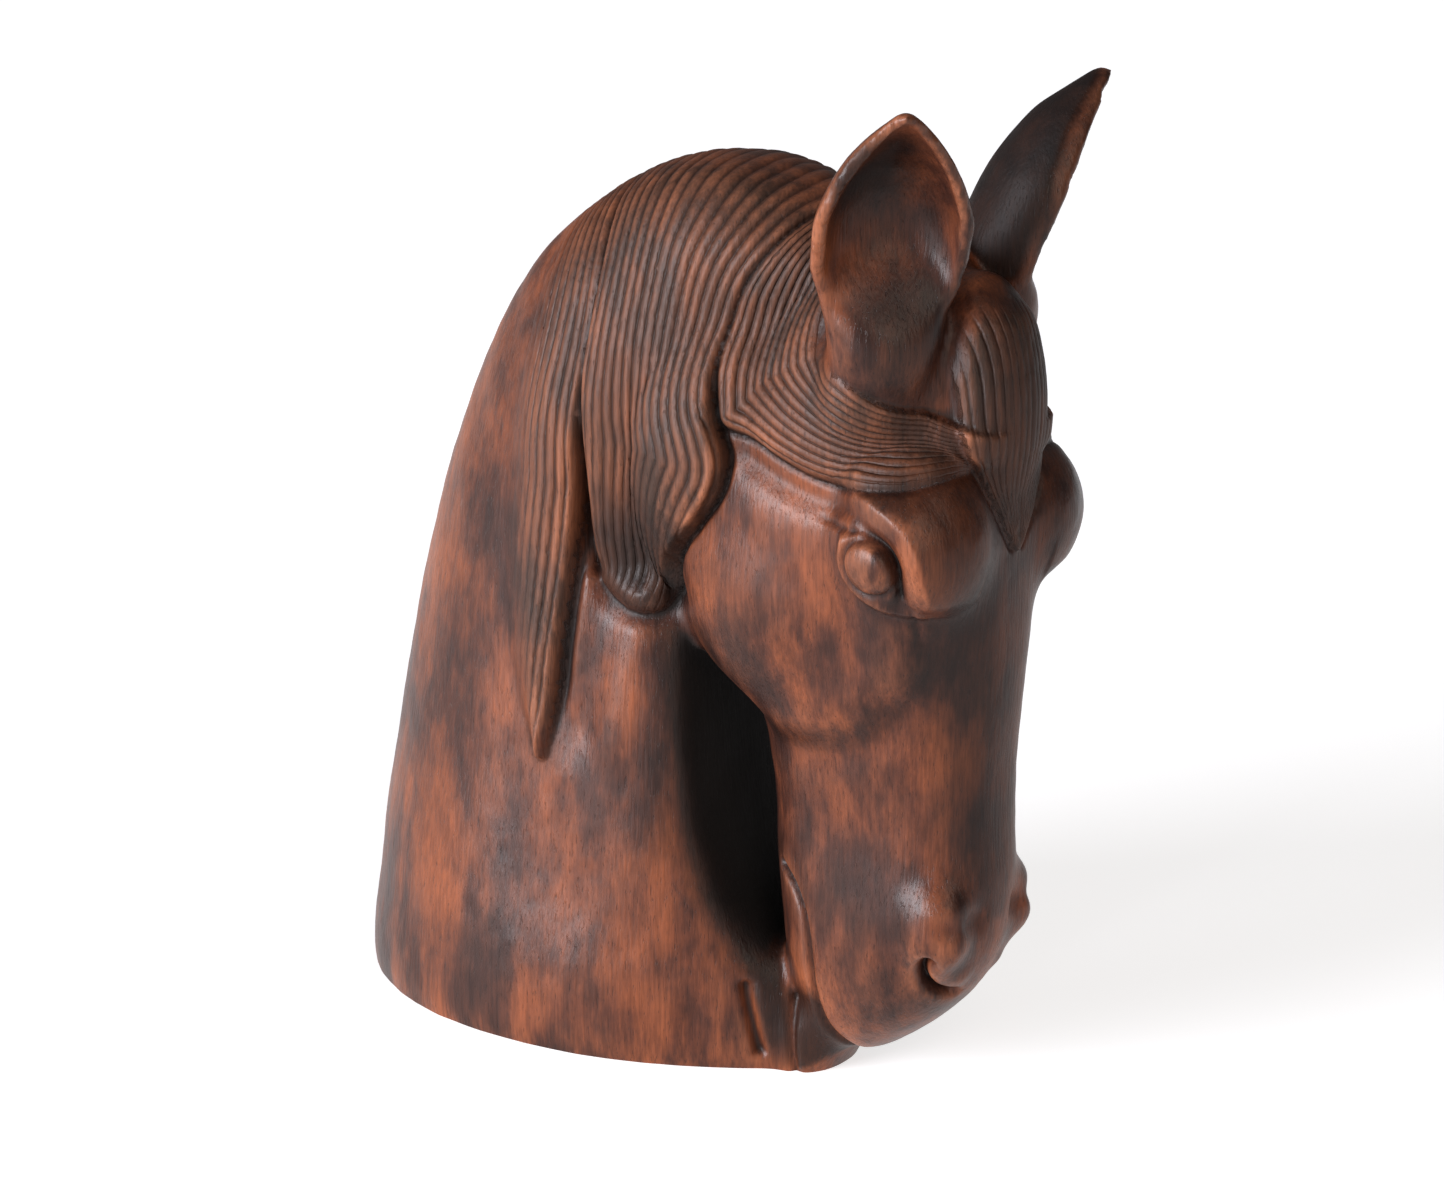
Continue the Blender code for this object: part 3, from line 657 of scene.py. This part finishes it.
def brow_fold(points):
    """1 in the fold under the brow, which blends into the side of the nose."""
    x, y, z = points[:, 0], np.abs(points[:, 1]), points[:, 2]
    along = ramp(x, 92, 100) * ramp(y, 8, 14)
    return along * bump(z - np.interp(x, (92, 118), (127, 134)), 9)


def throat_sides(points):
    """1 at the sawn edges of the throat gap, which stay crisp."""
    x, y, z = points[:, 0], np.abs(points[:, 1]), points[:, 2]
    table = np.array(NECK)
    near = bump(x - np.interp(z, table[:, 0], table[:, 2]), 6)
    return near * ramp(y, 16, 21) * ramp(z, 24, 34) * ramp(118 - z, 0, 10)


def ear_shade(points, normals):
    """Painted shade on the upper, outer side of an ear's cup, where its rim shades it, and
    darker colour on the ear's back.
    """
    base, axis = np.array(EAR_BASE), np.array(EAR_TIP - EAR_BASE)
    turn = math.radians(EAR_TURN)
    mirror = np.where(points[:, 1:2] < 0, -1, 1) * (0, 1, 0) + (1, 0, 1)
    p = points * mirror - base
    along = p @ axis / (axis @ axis)
    p = p - along[:, None] * axis
    face = np.array((math.cos(turn), math.sin(turn), 0))
    side = np.cross(axis, face)
    side /= np.linalg.norm(side)
    ahead = (normals * mirror) @ face
    near = ramp(24 - np.linalg.norm(p, axis=1), 0, 3)
    cup = ramp(ahead, 0.1, 0.55) * ramp(along, 0.28, 0.60) * ramp(p @ side, -12, 1)
    cup *= ramp(0.98 - along, 0, 0.14) * ramp(17 - np.abs(p @ side), 0, 4)
    back = ramp(-ahead, -0.1, 0.3) * ramp(along, 0.0, 0.2)
    return STAIN_AND_SHADE_SHARE["ear"] * near * np.maximum(cup, back) * (along < 1.1)


def stain_and_painted_shade(points, normals):
    """Darkness painted on the brow, the front of the face, the chin, the chest slit, the
    lock's foot, the jaw line and the neck beside the throat gap: partly thick stain, partly
    painted shade.
    """
    x, y, z = points[:, 0], np.abs(points[:, 1]), points[:, 2]
    ridge = np.array(BROW_RIDGE[::-1])
    facet = np.array(NECK_FACET)
    before_ridge = x - np.interp(z, ridge[:, 1], ridge[:, 0])
    before_facet = x - np.interp(z, facet[:, 1], facet[:, 0])
    to_slit = np.abs(away(x, z, curve(CHIN_SLIT)))
    to_jaw = np.abs(away(x, z, curve(JAW)))
    chin = inside(x, z, np.vstack([CHIN_EDGE, MOUTH[::-1]]))
    lock = inside(x, z, np.vstack([curve(PARTING[-4:] + LOCK_FOOT), LOCK_FRONT[:2]]))
    places = {
        "face": ramp(normals[:, 0], 0.30, 0.75) * ramp(x, 92, 104) * ramp(z, 48, 66),
        "brow": ramp(before_ridge, 1.5, 7) * ramp(x, 94, 100)
        * ramp(z, 128, 142) * ramp(172 - z, 0, 8),
        "chin": chin * ramp(27 - z, 0, 5) * ramp(32 - y, 0, 6),
        "slit": ramp(5 - to_slit, 0, 3) * ramp(z, -4, 10),
        "lock": lock * ramp(158 - z, 0, 22),
        "jaw": ramp(5 - to_jaw, 0, 4) * ramp(y, 8, 12),
        "neck": ramp(before_facet, 2, 17) * ramp(52 - x, 0, 4)
        * ramp(z, 44, 66) * ramp(122 - z, 0, 8),
    }
    return np.max([STAIN_AND_SHADE_SHARE[name] * share for name, share in places.items()], axis=0)


def in_throat(points, normals):
    """1 on the two sawn faces that look at each other across the throat, where deep shade is
    painted black.
    """
    x, z = points[:, 0], points[:, 2]
    table = np.array(NECK)
    neck_front = np.interp(z, table[:, 0], table[:, 2])
    table = np.array(HEAD)
    jaw_back = np.interp(z, table[:, 0], table[:, 1])
    on_neck = bump(x - neck_front, 7) * ramp(normals[:, 0], 0.35, 0.8)
    on_jaw = bump(x - jaw_back, 7) * ramp(-normals[:, 0], 0.35, 0.8)
    return np.maximum(on_neck, on_jaw) * ramp(z, 8, 26) * ramp(122 - z, 0, 8)


def true_ears(points, sizes):
    """Lay the points of the ears on the ears' own smooth surface again."""
    bm = bmesh.new()
    for side in (1, -1):
        sections(bm, EAR, FINE_EAR_GRID, ear_section(side, sizes.ear_wall))
    surface = BVHTree.FromBMesh(bm)
    bm.free()
    axis = np.array(EAR_TIP - EAR_BASE)
    along = (points * (1, 0, 1) + np.abs(points) * (0, 1, 0) - EAR_BASE) @ axis
    along /= axis @ axis
    share = (1 - cup_clear(points)) * ramp(along, 0.22, 0.42)
    points = points.copy()
    for i in np.flatnonzero(share > 0):
        found = surface.find_nearest(Vector(points[i]) * STEP)[0] / STEP
        points[i] = mixed(points[i], np.array(found), share[i])
    return points


def rough_out(head, sizes):
    """Soften the fused forms into one body, as in the solid."""
    mesh = head.data
    points = points_of(mesh)
    edges = edges_of(mesh)
    rounds = round(SOFT_ROUNDS * (SOFT_FACE * STEP / sizes.chisel_step) ** 2)
    crisp = np.minimum(1 - throat_sides(points), 0.15 + 0.85 * cup_clear(points))
    points = soften(points, edges, rounds, 0.5 * np.maximum(crisp, 0.2))
    points = soften(points, edges, 2 * rounds, 0.5 * brow_fold(points))
    move_to(mesh, points)
    finer = head.modifiers.new("Finer", "SUBSURF")
    finer.levels = finer.render_levels = 1
    settle(head)
    points = true_ears(points_of(head.data), sizes)
    share = 0.5 * (1 - cup_clear(points))
    move_to(head.data, soften(points, edges_of(head.data), 2, share))


def fine_carving(head, sizes):
    """Push all relief out along the normals, and mark where stain stayed or wore and where
    shade is painted.
    """
    mesh = head.data
    points = points_of(mesh)
    normals = normals_of(mesh)
    edges = edges_of(mesh)
    clear = cup_clear(points)
    locks, phase, mask = mane_carving(points, sizes)
    tuft, tuft_phase, tuft_mask = forelock_carving(points)
    relief = (locks + tuft) * clear
    relief += eye_carving(points, sizes)
    relief += nostril_carving(points, sizes)
    relief += jaw_carving(points)
    relief += cove_carving(points)
    relief += worn_hollow(points)
    relief += line_cut(points, MOUTH, 1.0, sizes.mouth_cut / STEP, 3)
    relief += line_cut(points, CHEST_SLIT, 1.4, 2.4, 10)
    relief += line_cut(points, CHIN_EDGE, 1.1, 1.5, 7) * ramp(25 - points[:, 2], 0, 5)
    relief += 0.12 * waves(points, 17, 1) + 0.05 * waves(points, 6, 2)
    relief = soften(relief[:, None], edges, 2)
    carved = points + normals * relief
    move_to(mesh, carved)

    # How far each point lies below its smoothed surroundings, near and wide
    normals = normals_of(mesh)
    near = ((soften(carved, edges, 10) - carved) * normals).sum(axis=1)
    wide = ((soften(carved, edges, 120) - carved) * normals).sum(axis=1)
    hollow = np.clip(near / 0.30, 0, 1) * 0.7 + np.clip(wide / 1.8, 0, 1) * 0.6
    worn = np.clip(-near / 0.30, 0, 1) * 0.5 + np.clip(-wide / 1.4, 0, 1) * 0.6
    hollow = soften(hollow[:, None], edges, 1)[:, 0]
    worn = soften(worn[:, None], edges, 1)[:, 0]
    # hollow darkens narrow cuts as stain left in them and broad hollows as painted shade; worn
    # lightens ridges where the stain was rubbed off
    mark(mesh, "hollow", np.clip(hollow, 0, 1))
    mark(mesh, "worn", np.clip(worn, 0, 1))
    # Painted shade, partly stain: darkening of the ears, the brow, the front of the face, the
    # chin, the chest slit, the lock's foot, the jaw line, the neck beside the gap and the
    # throat's sawn faces
    shaded = np.maximum(ear_shade(carved, normals), stain_and_painted_shade(carved, normals))
    shaded = soften(shaded[:, None], edges, 3)[:, 0]
    mark(mesh, "shaded", np.maximum(shaded, in_throat(carved, normals)))
    strands = np.maximum(mask * clear, tuft_mask * clear)
    mark(mesh, "strand", np.where(tuft_mask > mask, tuft_phase, phase))
    mark(mesh, "mane", soften(strands[:, None], edges, 3)[:, 0])


def thin_out(head):
    """Fewer, larger facets where the surface is calm."""
    triangles = 2 * len(head.data.vertices)
    fewer = head.modifiers.new("Fewer facets", "DECIMATE")
    fewer.ratio = min(1.0, TRIANGLES / triangles)
    fewer.use_collapse_triangulate = True
    settle(head)


def cut_foot(head):
    """Saw the foot flat on the floor plane and close it with a crisp rim."""
    bm = bmesh.new()
    bm.from_mesh(head.data)
    geometry = bm.verts[:] + bm.edges[:] + bm.faces[:]
    made = bmesh.ops.bisect_plane(
        bm, geom=geometry, dist=STEP * 0.02,
        plane_co=(0, 0, 0), plane_no=(0, 0, 1), clear_inner=True,
    )
    rim = [e for e in made["geom_cut"] if isinstance(e, bmesh.types.BMEdge)]
    bmesh.ops.edgeloop_fill(bm, edges=rim)
    bmesh.ops.triangulate(bm, faces=[f for f in bm.faces if len(f.verts) > 3])
    bmesh.ops.recalc_face_normals(bm, faces=bm.faces)
    for face in bm.faces:
        face.smooth = True
    for edge in rim:
        if edge.is_valid:
            edge.smooth = False
    bm.to_mesh(head.data)
    bm.free()


def linear(text):
    """An sRGB hex colour as linear red, green and blue."""
    shares = [int(text[i:i + 2], 16) / 255 for i in (1, 3, 5)]
    return tuple(
        s / 12.92 if s <= 0.04045 else ((s + 0.055) / 1.055) ** 2.4 for s in shares
    )


def add(tree, kind, inputs=None, output=0, **settings):
    """Add a node with its settings and links, and give back one of its outputs."""
    node = tree.nodes.new(kind)
    node.location = (len(tree.nodes) % 12 * 190, len(tree.nodes) // 12 * -320)
    for name, value in settings.items():
        setattr(node, name, value)
    for name, value in (inputs or {}).items():
        if isinstance(value, bpy.types.NodeSocket):
            tree.links.new(value, node.inputs[name])
        elif node.inputs[name].type == "RGBA":
            node.inputs[name].default_value = (*value, 1)
        else:
            node.inputs[name].default_value = value
    return node.outputs[output]


def stained_hardwood(look):
    """Dense tropical hardwood, carved by hand, stained and varnished.

    The stain soaked in unevenly in upright streaks, stayed dark in the cuts
    and wore off the ridges. Painted shade darkens the broad hollows, the ears,
    the front of the face, the brow, the chin, the lock's foot, the neck beside
    the throat and the throat's sawn faces. The thin satin varnish leaves the
    pores open.
    """
    wood = bpy.data.materials.new("stained_hardwood")
    wood.use_nodes = True
    tree = wood.node_tree
    shader = tree.nodes["Principled BSDF"]
    place = add(tree, "ShaderNodeTexCoord", output="Object")
    mane, hollow, worn, shaded, phase = (
        add(tree, "ShaderNodeAttribute", output="Fac", attribute_name=name)
        for name in ("mane", "hollow", "worn", "shaded", "strand")
    )

    # Widths and heights in mm of the stain's clouds, its upright streaks and
    # its specks, of the grain's threads, which are coarser than the wood's own
    # 0.3 mm so that the picture shows them, and of the open pores
    patterns = []
    for wide, tall, detail in (
        (24, 44, 3), (6, 20, 5), (1.5, 3.4, 3), (0.8, 11, 3), (0.45, 3.2, 2),
    ):
        size = (1 / (wide * STEP), 1 / (wide * STEP), 1 / (tall * STEP))
        spread = add(tree, "ShaderNodeMapping", {"Vector": place, "Scale": size})
        settings = {"Vector": spread, "Scale": 1, "Detail": detail, "Roughness": 0.58}
        patterns.append(add(tree, "ShaderNodeTexNoise", settings))
    clouds, streaks, specks, threads, pores = patterns

    # Three stains, from thick to thin, where clouds and streaks add up
    tone = 0.0
    for pattern, weight in ((streaks, 0.34), (clouds, 0.76), (specks, 0.10)):
        tone = add(
            tree, "ShaderNodeMath", {0: pattern, 1: weight, 2: tone},
            operation="MULTIPLY_ADD",
        )
    thin = add(
        tree, "ShaderNodeMapRange", {"Value": tone, "From Min": 0.44, "From Max": 0.66},
        interpolation_type="SMOOTHSTEP",
    )
    thinner = add(
        tree, "ShaderNodeMapRange", {"Value": tone, "From Min": 0.54, "From Max": 0.80},
        interpolation_type="SMOOTHSTEP",
    )
    colour = add(
        tree, "ShaderNodeMix", {0: thin, 6: look.stain_dark, 7: look.stain_red}, 2,
        data_type="RGBA",
    )
    colour = add(
        tree, "ShaderNodeMix", {0: thinner, 6: colour, 7: look.stain_light}, 2,
        data_type="RGBA",
    )
    share = add(tree, "ShaderNodeMath", {0: mane, 1: 0.55}, operation="MULTIPLY")
    colour = add(
        tree, "ShaderNodeMix", {0: share, 6: colour, 7: look.mane_olive}, 2,
        data_type="RGBA",
    )

    # Wear on the ridges, broken up by the streaks
    rubbed = add(
        tree, "ShaderNodeMapRange", {"Value": streaks, "From Min": 0.32, "From Max": 0.62},
        interpolation_type="SMOOTHSTEP",
    )
    rubbed = add(tree, "ShaderNodeMath", {0: rubbed, 1: worn}, operation="MULTIPLY")
    rubbed = add(tree, "ShaderNodeMath", {0: rubbed, 1: 0.8}, operation="MULTIPLY")
    colour = add(
        tree, "ShaderNodeMix", {0: rubbed, 6: colour, 7: look.worn_ridge}, 2,
        data_type="RGBA",
    )

    # Stain left in the narrow cuts and between the strands, and painted shade, partly stain,
    # in broad hollows, in the ears, on the front of the face, brow, chin, lock's foot, jaw
    # line and neck beside the gap, and on the throat's sawn faces
    turn = add(tree, "ShaderNodeMath", {0: phase, 1: math.pi}, operation="MULTIPLY")
    turn = add(tree, "ShaderNodeMath", {0: turn}, operation="SINE")
    turn = add(tree, "ShaderNodeMath", {0: turn}, operation="ABSOLUTE")
    groove = add(
        tree, "ShaderNodeMapRange",
        {"Value": turn, "From Min": 0.60, "From Max": 0.0, "To Max": 0.75},
        interpolation_type="SMOOTHSTEP",
    )
    groove = add(tree, "ShaderNodeMath", {0: groove, 1: mane}, operation="MULTIPLY")
    dark = add(tree, "ShaderNodeMath", {0: hollow, 1: groove}, operation="MAXIMUM")
    dark = add(tree, "ShaderNodeMath", {0: dark, 1: 0.85}, operation="MULTIPLY")
    dark = add(tree, "ShaderNodeMath", {0: dark, 1: shaded}, operation="MAXIMUM")
    colour = add(
        tree, "ShaderNodeMix", {0: dark, 6: colour, 7: look.cut_stain_and_painted_shade}, 2,
        data_type="RGBA",
    )

    # Fibres and open pores
    fibre = add(
        tree, "ShaderNodeMapRange", {"Value": threads, "From Min": 0.30, "From Max": 0.70},
        interpolation_type="SMOOTHSTEP",
    )
    shade = add(tree, "ShaderNodeMapRange", {"Value": fibre, "To Min": 0.78, "To Max": 1.15})
    colour = add(
        tree, "ShaderNodeMix", {0: 1, 6: colour, 7: shade}, 2,
        data_type="RGBA", blend_type="MULTIPLY",
    )
    pitted = add(
        tree, "ShaderNodeMapRange",
        {"Value": pores, "From Min": 0.60, "From Max": 0.72, "To Max": 0.45},
        interpolation_type="SMOOTHSTEP",
    )
    colour = add(
        tree, "ShaderNodeMix", {0: pitted, 6: colour, 7: look.cut_stain_and_painted_shade}, 2,
        data_type="RGBA",
    )
    tree.links.new(colour, shader.inputs["Base Color"])

    # Satin varnish of typical IOR, duller on the mane and in the cuts, and
    # none on the sawn faces of the throat gap
    satin = add(tree, "ShaderNodeMapRange", {"Value": streaks, "To Min": 0.30, "To Max": 0.44})
    dull = add(tree, "ShaderNodeMath", {0: mane, 1: hollow}, operation="MAXIMUM")
    satin = add(tree, "ShaderNodeMath", {0: dull, 1: 0.14, 2: satin}, operation="MULTIPLY_ADD")
    bare = add(
        tree, "ShaderNodeMapRange", {"Value": shaded, "From Min": 0.87, "To Max": 0.5},
        interpolation_type="SMOOTHSTEP",
    )
    satin = add(tree, "ShaderNodeMath", {0: satin, 1: bare}, operation="ADD", use_clamp=True)
    tree.links.new(satin, shader.inputs["Roughness"])
    shader.inputs["IOR"].default_value = 1.5
    shader.inputs["Specular IOR Level"].default_value = 0.22

    # Relief in mm: open grain, pores and the sharp floor of each groove
    lift = add(tree, "ShaderNodeMath", {0: fibre, 1: 0.045}, operation="MULTIPLY")
    lift = add(tree, "ShaderNodeMath", {0: pitted, 1: -0.1, 2: lift}, operation="MULTIPLY_ADD")
    lift = add(tree, "ShaderNodeMath", {0: groove, 1: -0.3, 2: lift}, operation="MULTIPLY_ADD")
    relief = add(tree, "ShaderNodeBump", {"Strength": 1, "Distance": STEP, "Height": lift})
    tree.links.new(relief, shader.inputs["Normal"])
    return wood


def stage_paint(colour):
    """Matt white paint, rolled on, which gives no highlight.

    Its faint glow stands for the bright studio round the stage, so that the
    floor is as white as in the photograph.
    """
    paint = bpy.data.materials.new("matt_white_paint")
    paint.use_nodes = True
    shader = paint.node_tree.nodes["Principled BSDF"]
    shader.inputs["Base Color"].default_value = (*colour, 1)
    shader.inputs["Roughness"].default_value = 0.9
    shader.inputs["Emission Color"].default_value = (1, 1, 1, 1)
    shader.inputs["Emission Strength"].default_value = 0.68
    return paint


def from_side(azimuth, elevation, distance, target):
    """A place seen from the target at these angles, and the turn that faces the target."""
    a, e = math.radians(azimuth), math.radians(elevation)
    way = Vector((
        math.sin(a) * math.cos(e), -math.cos(a) * math.cos(e), math.sin(e)
    ))
    return Vector(target) + way * distance, (-way).to_track_quat("-Z", "Y")


def stand(name, data, place, target):
    """Stand a lamp or the camera at its place, turned to the target."""
    item = bpy.data.objects.new(name, data)
    item.location, turn = from_side(*place, target)
    item.rotation_euler = turn.to_euler()
    bpy.context.scene.collection.objects.link(item)
    return item


class HorseCarving(bpy.types.PropertyGroup):
    chisel_step: bpy.props.FloatProperty(
        name="Chisel step", description="Size of the faces that the forms are fused in",
        default=0.0012, min=0.0008, max=0.003, unit="LENGTH")
    ear_wall: bpy.props.FloatProperty(
        name="Ear wall", description="Thickness of the ears' rims",
        default=0.0031, min=0.002, max=0.006, unit="LENGTH")
    lock_rise: bpy.props.FloatProperty(
        name="Lock rise", description="How far the locks stand off the neck",
        default=0.0048, min=0.0, max=0.008, unit="LENGTH")
    middle_strands: bpy.props.IntProperty(
        name="Middle strands", description="Strands across the middle lock",
        default=15, min=4, max=24)
    swept_strands: bpy.props.IntProperty(
        name="Swept strands", description="Strands that sweep under the ear",
        default=13, min=4, max=24)
    strand_width: bpy.props.FloatProperty(
        name="Strand width", description="Width of a strand on the back of the neck",
        default=0.0030, min=0.0015, max=0.008, unit="LENGTH")
    strand_depth: bpy.props.FloatProperty(
        name="Strand depth", description="Depth of the grooves between strands",
        default=0.00095, min=0.0, max=0.002, unit="LENGTH")
    eye_length: bpy.props.FloatProperty(
        name="Eye length", description="Length of the eye between its corners",
        default=0.026, min=0.015, max=0.035, unit="LENGTH")
    nostril_depth: bpy.props.FloatProperty(
        name="Nostril depth", description="Depth of the crescent nostril",
        default=0.0050, min=0.0, max=0.008, unit="LENGTH")
    mouth_cut: bpy.props.FloatProperty(
        name="Mouth cut", description="Depth of the line of the mouth",
        default=0.0022, min=0.0, max=0.004, unit="LENGTH")


class HorseFinish(bpy.types.PropertyGroup):
    stain_light: bpy.props.FloatVectorProperty(
        name="Light stain", description="Orange brown where the stain is thin",
        subtype="COLOR", size=3, min=0, max=1, default=linear("#763E23"))
    stain_red: bpy.props.FloatVectorProperty(
        name="Red stain", description="Reddish brown of most of the wood",
        subtype="COLOR", size=3, min=0, max=1, default=linear("#4A271B"))
    stain_dark: bpy.props.FloatVectorProperty(
        name="Dark stain", description="Walnut brown where the stain is thick",
        subtype="COLOR", size=3, min=0, max=1, default=linear("#2A1712"))
    mane_olive: bpy.props.FloatVectorProperty(
        name="Mane", description="Dull olive brown of the mane",
        subtype="COLOR", size=3, min=0, max=1, default=linear("#3E2B20"))
    worn_ridge: bpy.props.FloatVectorProperty(
        name="Worn ridges", description="Pale brown where hands rubbed the stain off",
        subtype="COLOR", size=3, min=0, max=1, default=linear("#8A543A"))
    # Blackish colour of the stain in the cuts and pores, and of the painted shade in hollows,
    # ears, face front, chin and throat
    cut_stain_and_painted_shade: bpy.props.FloatVectorProperty(
        name="Cuts", description="Blackish stain left in cuts and grooves",
        subtype="COLOR", size=3, min=0, max=1, default=linear("#0A0504"))


class HorseStage(bpy.types.PropertyGroup):
    floor: bpy.props.FloatVectorProperty(
        name="Floor", description="Colour of the plain floor",
        subtype="COLOR", size=3, min=0, max=1, default=linear("#D8D7D9"))
    key_power: bpy.props.FloatProperty(
        name="Key power", description="Strength of the large soft light in W per square metre",
        default=7.4, min=0)
    daylight: bpy.props.FloatProperty(
        name="Daylight", description="Strength of the even white light from all round",
        default=0.16, min=0)


class HORSE_OT_carve(bpy.types.Operator):
    """Carve the horse head with its mane, eyes and nostrils"""
    bl_idname = "horse_head.carve"
    bl_label = "Carve the head"

    def execute(self, context):
        sizes = context.scene.horse_carving
        head = fused_forms(sizes)
        rough_out(head, sizes)
        fine_carving(head, sizes)
        thin_out(head)
        cut_foot(head)
        head.data.materials.append(stained_hardwood(context.scene.horse_finish))
        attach(head, "root")
        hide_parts("horse_head")
        return {"FINISHED"}


class HORSE_OT_stage(bpy.types.Operator):
    """Set up the pale floor, the soft lights and the camera"""
    bl_idname = "horse_head.stage"
    bl_label = "Set up the stage"

    def execute(self, context):
        scene = context.scene
        look = scene.horse_stage
        bm = bmesh.new()
        bmesh.ops.create_circle(bm, cap_ends=True, radius=5, segments=64)
        mesh = bpy.data.meshes.new("floor")
        bm.to_mesh(mesh)
        bm.free()
        floor = bpy.data.objects.new("floor", mesh)
        floor.data.materials.append(stage_paint(look.floor))
        scene.collection.objects.link(floor)

        world = bpy.data.worlds.new("daylight")
        scene.world = world
        world.use_nodes = True
        sky = world.node_tree.nodes["Background"]
        sky.inputs[0].default_value = (*linear("#FDFDFF"), 1)
        sky.inputs[1].default_value = look.daylight

        key = bpy.data.lights.new("key", "SUN")
        key.energy = look.key_power
        key.angle = math.radians(34)
        key.color = linear("#F6F8FF")
        stand("key", key, KEY_PLACE, MIDDLE)
        window = bpy.data.lights.new("window", "AREA")
        window.shape = "RECTANGLE"
        window.size, window.size_y = WINDOW_SIZE
        window.energy = WINDOW_POWER
        window.color = linear("#FFF1E2")
        stand("window", window, WINDOW_PLACE, MIDDLE)
        scene.view_settings.view_transform = "Standard"

        view = bpy.data.cameras.new("camera")
        view.sensor_width = 36
        view.lens = CAMERA_LENS
        view.clip_start = 0.05
        scene.camera = stand("camera", view, CAMERA_PLACE, CAMERA_TARGET)
        return {"FINISHED"}


class HORSE_PT_carving(bpy.types.Panel):
    bl_idname = "HORSE_PT_carving"
    bl_label = "Horse head"
    bl_space_type = "VIEW_3D"
    bl_region_type = "UI"
    bl_category = "Horse head"

    def draw(self, context):
        for group in ("horse_carving", "horse_finish", "horse_stage"):
            settings = getattr(context.scene, group)
            column = self.layout.column(align=True)
            for name in settings.__annotations__:
                column.prop(settings, name)
        for operator in OPERATORS:
            self.layout.operator(operator.bl_idname)


GROUPS = {
    "horse_carving": HorseCarving,
    "horse_finish": HorseFinish,
    "horse_stage": HorseStage,
}
OPERATORS = (HORSE_OT_carve, HORSE_OT_stage)


def register():
    for name, group in GROUPS.items():
        bpy.utils.register_class(group)
        setattr(bpy.types.Scene, name, bpy.props.PointerProperty(type=group))
    for operator in OPERATORS:
        bpy.utils.register_class(operator)
    bpy.utils.register_class(HORSE_PT_carving)


def unregister():
    bpy.utils.unregister_class(HORSE_PT_carving)
    for operator in reversed(OPERATORS):
        bpy.utils.unregister_class(operator)
    for name, group in GROUPS.items():
        delattr(bpy.types.Scene, name)
        bpy.utils.unregister_class(group)


def main():
    register()
    bpy.ops.horse_head.carve()
    bpy.ops.horse_head.stage()


if __name__ == "__main__":
    main()
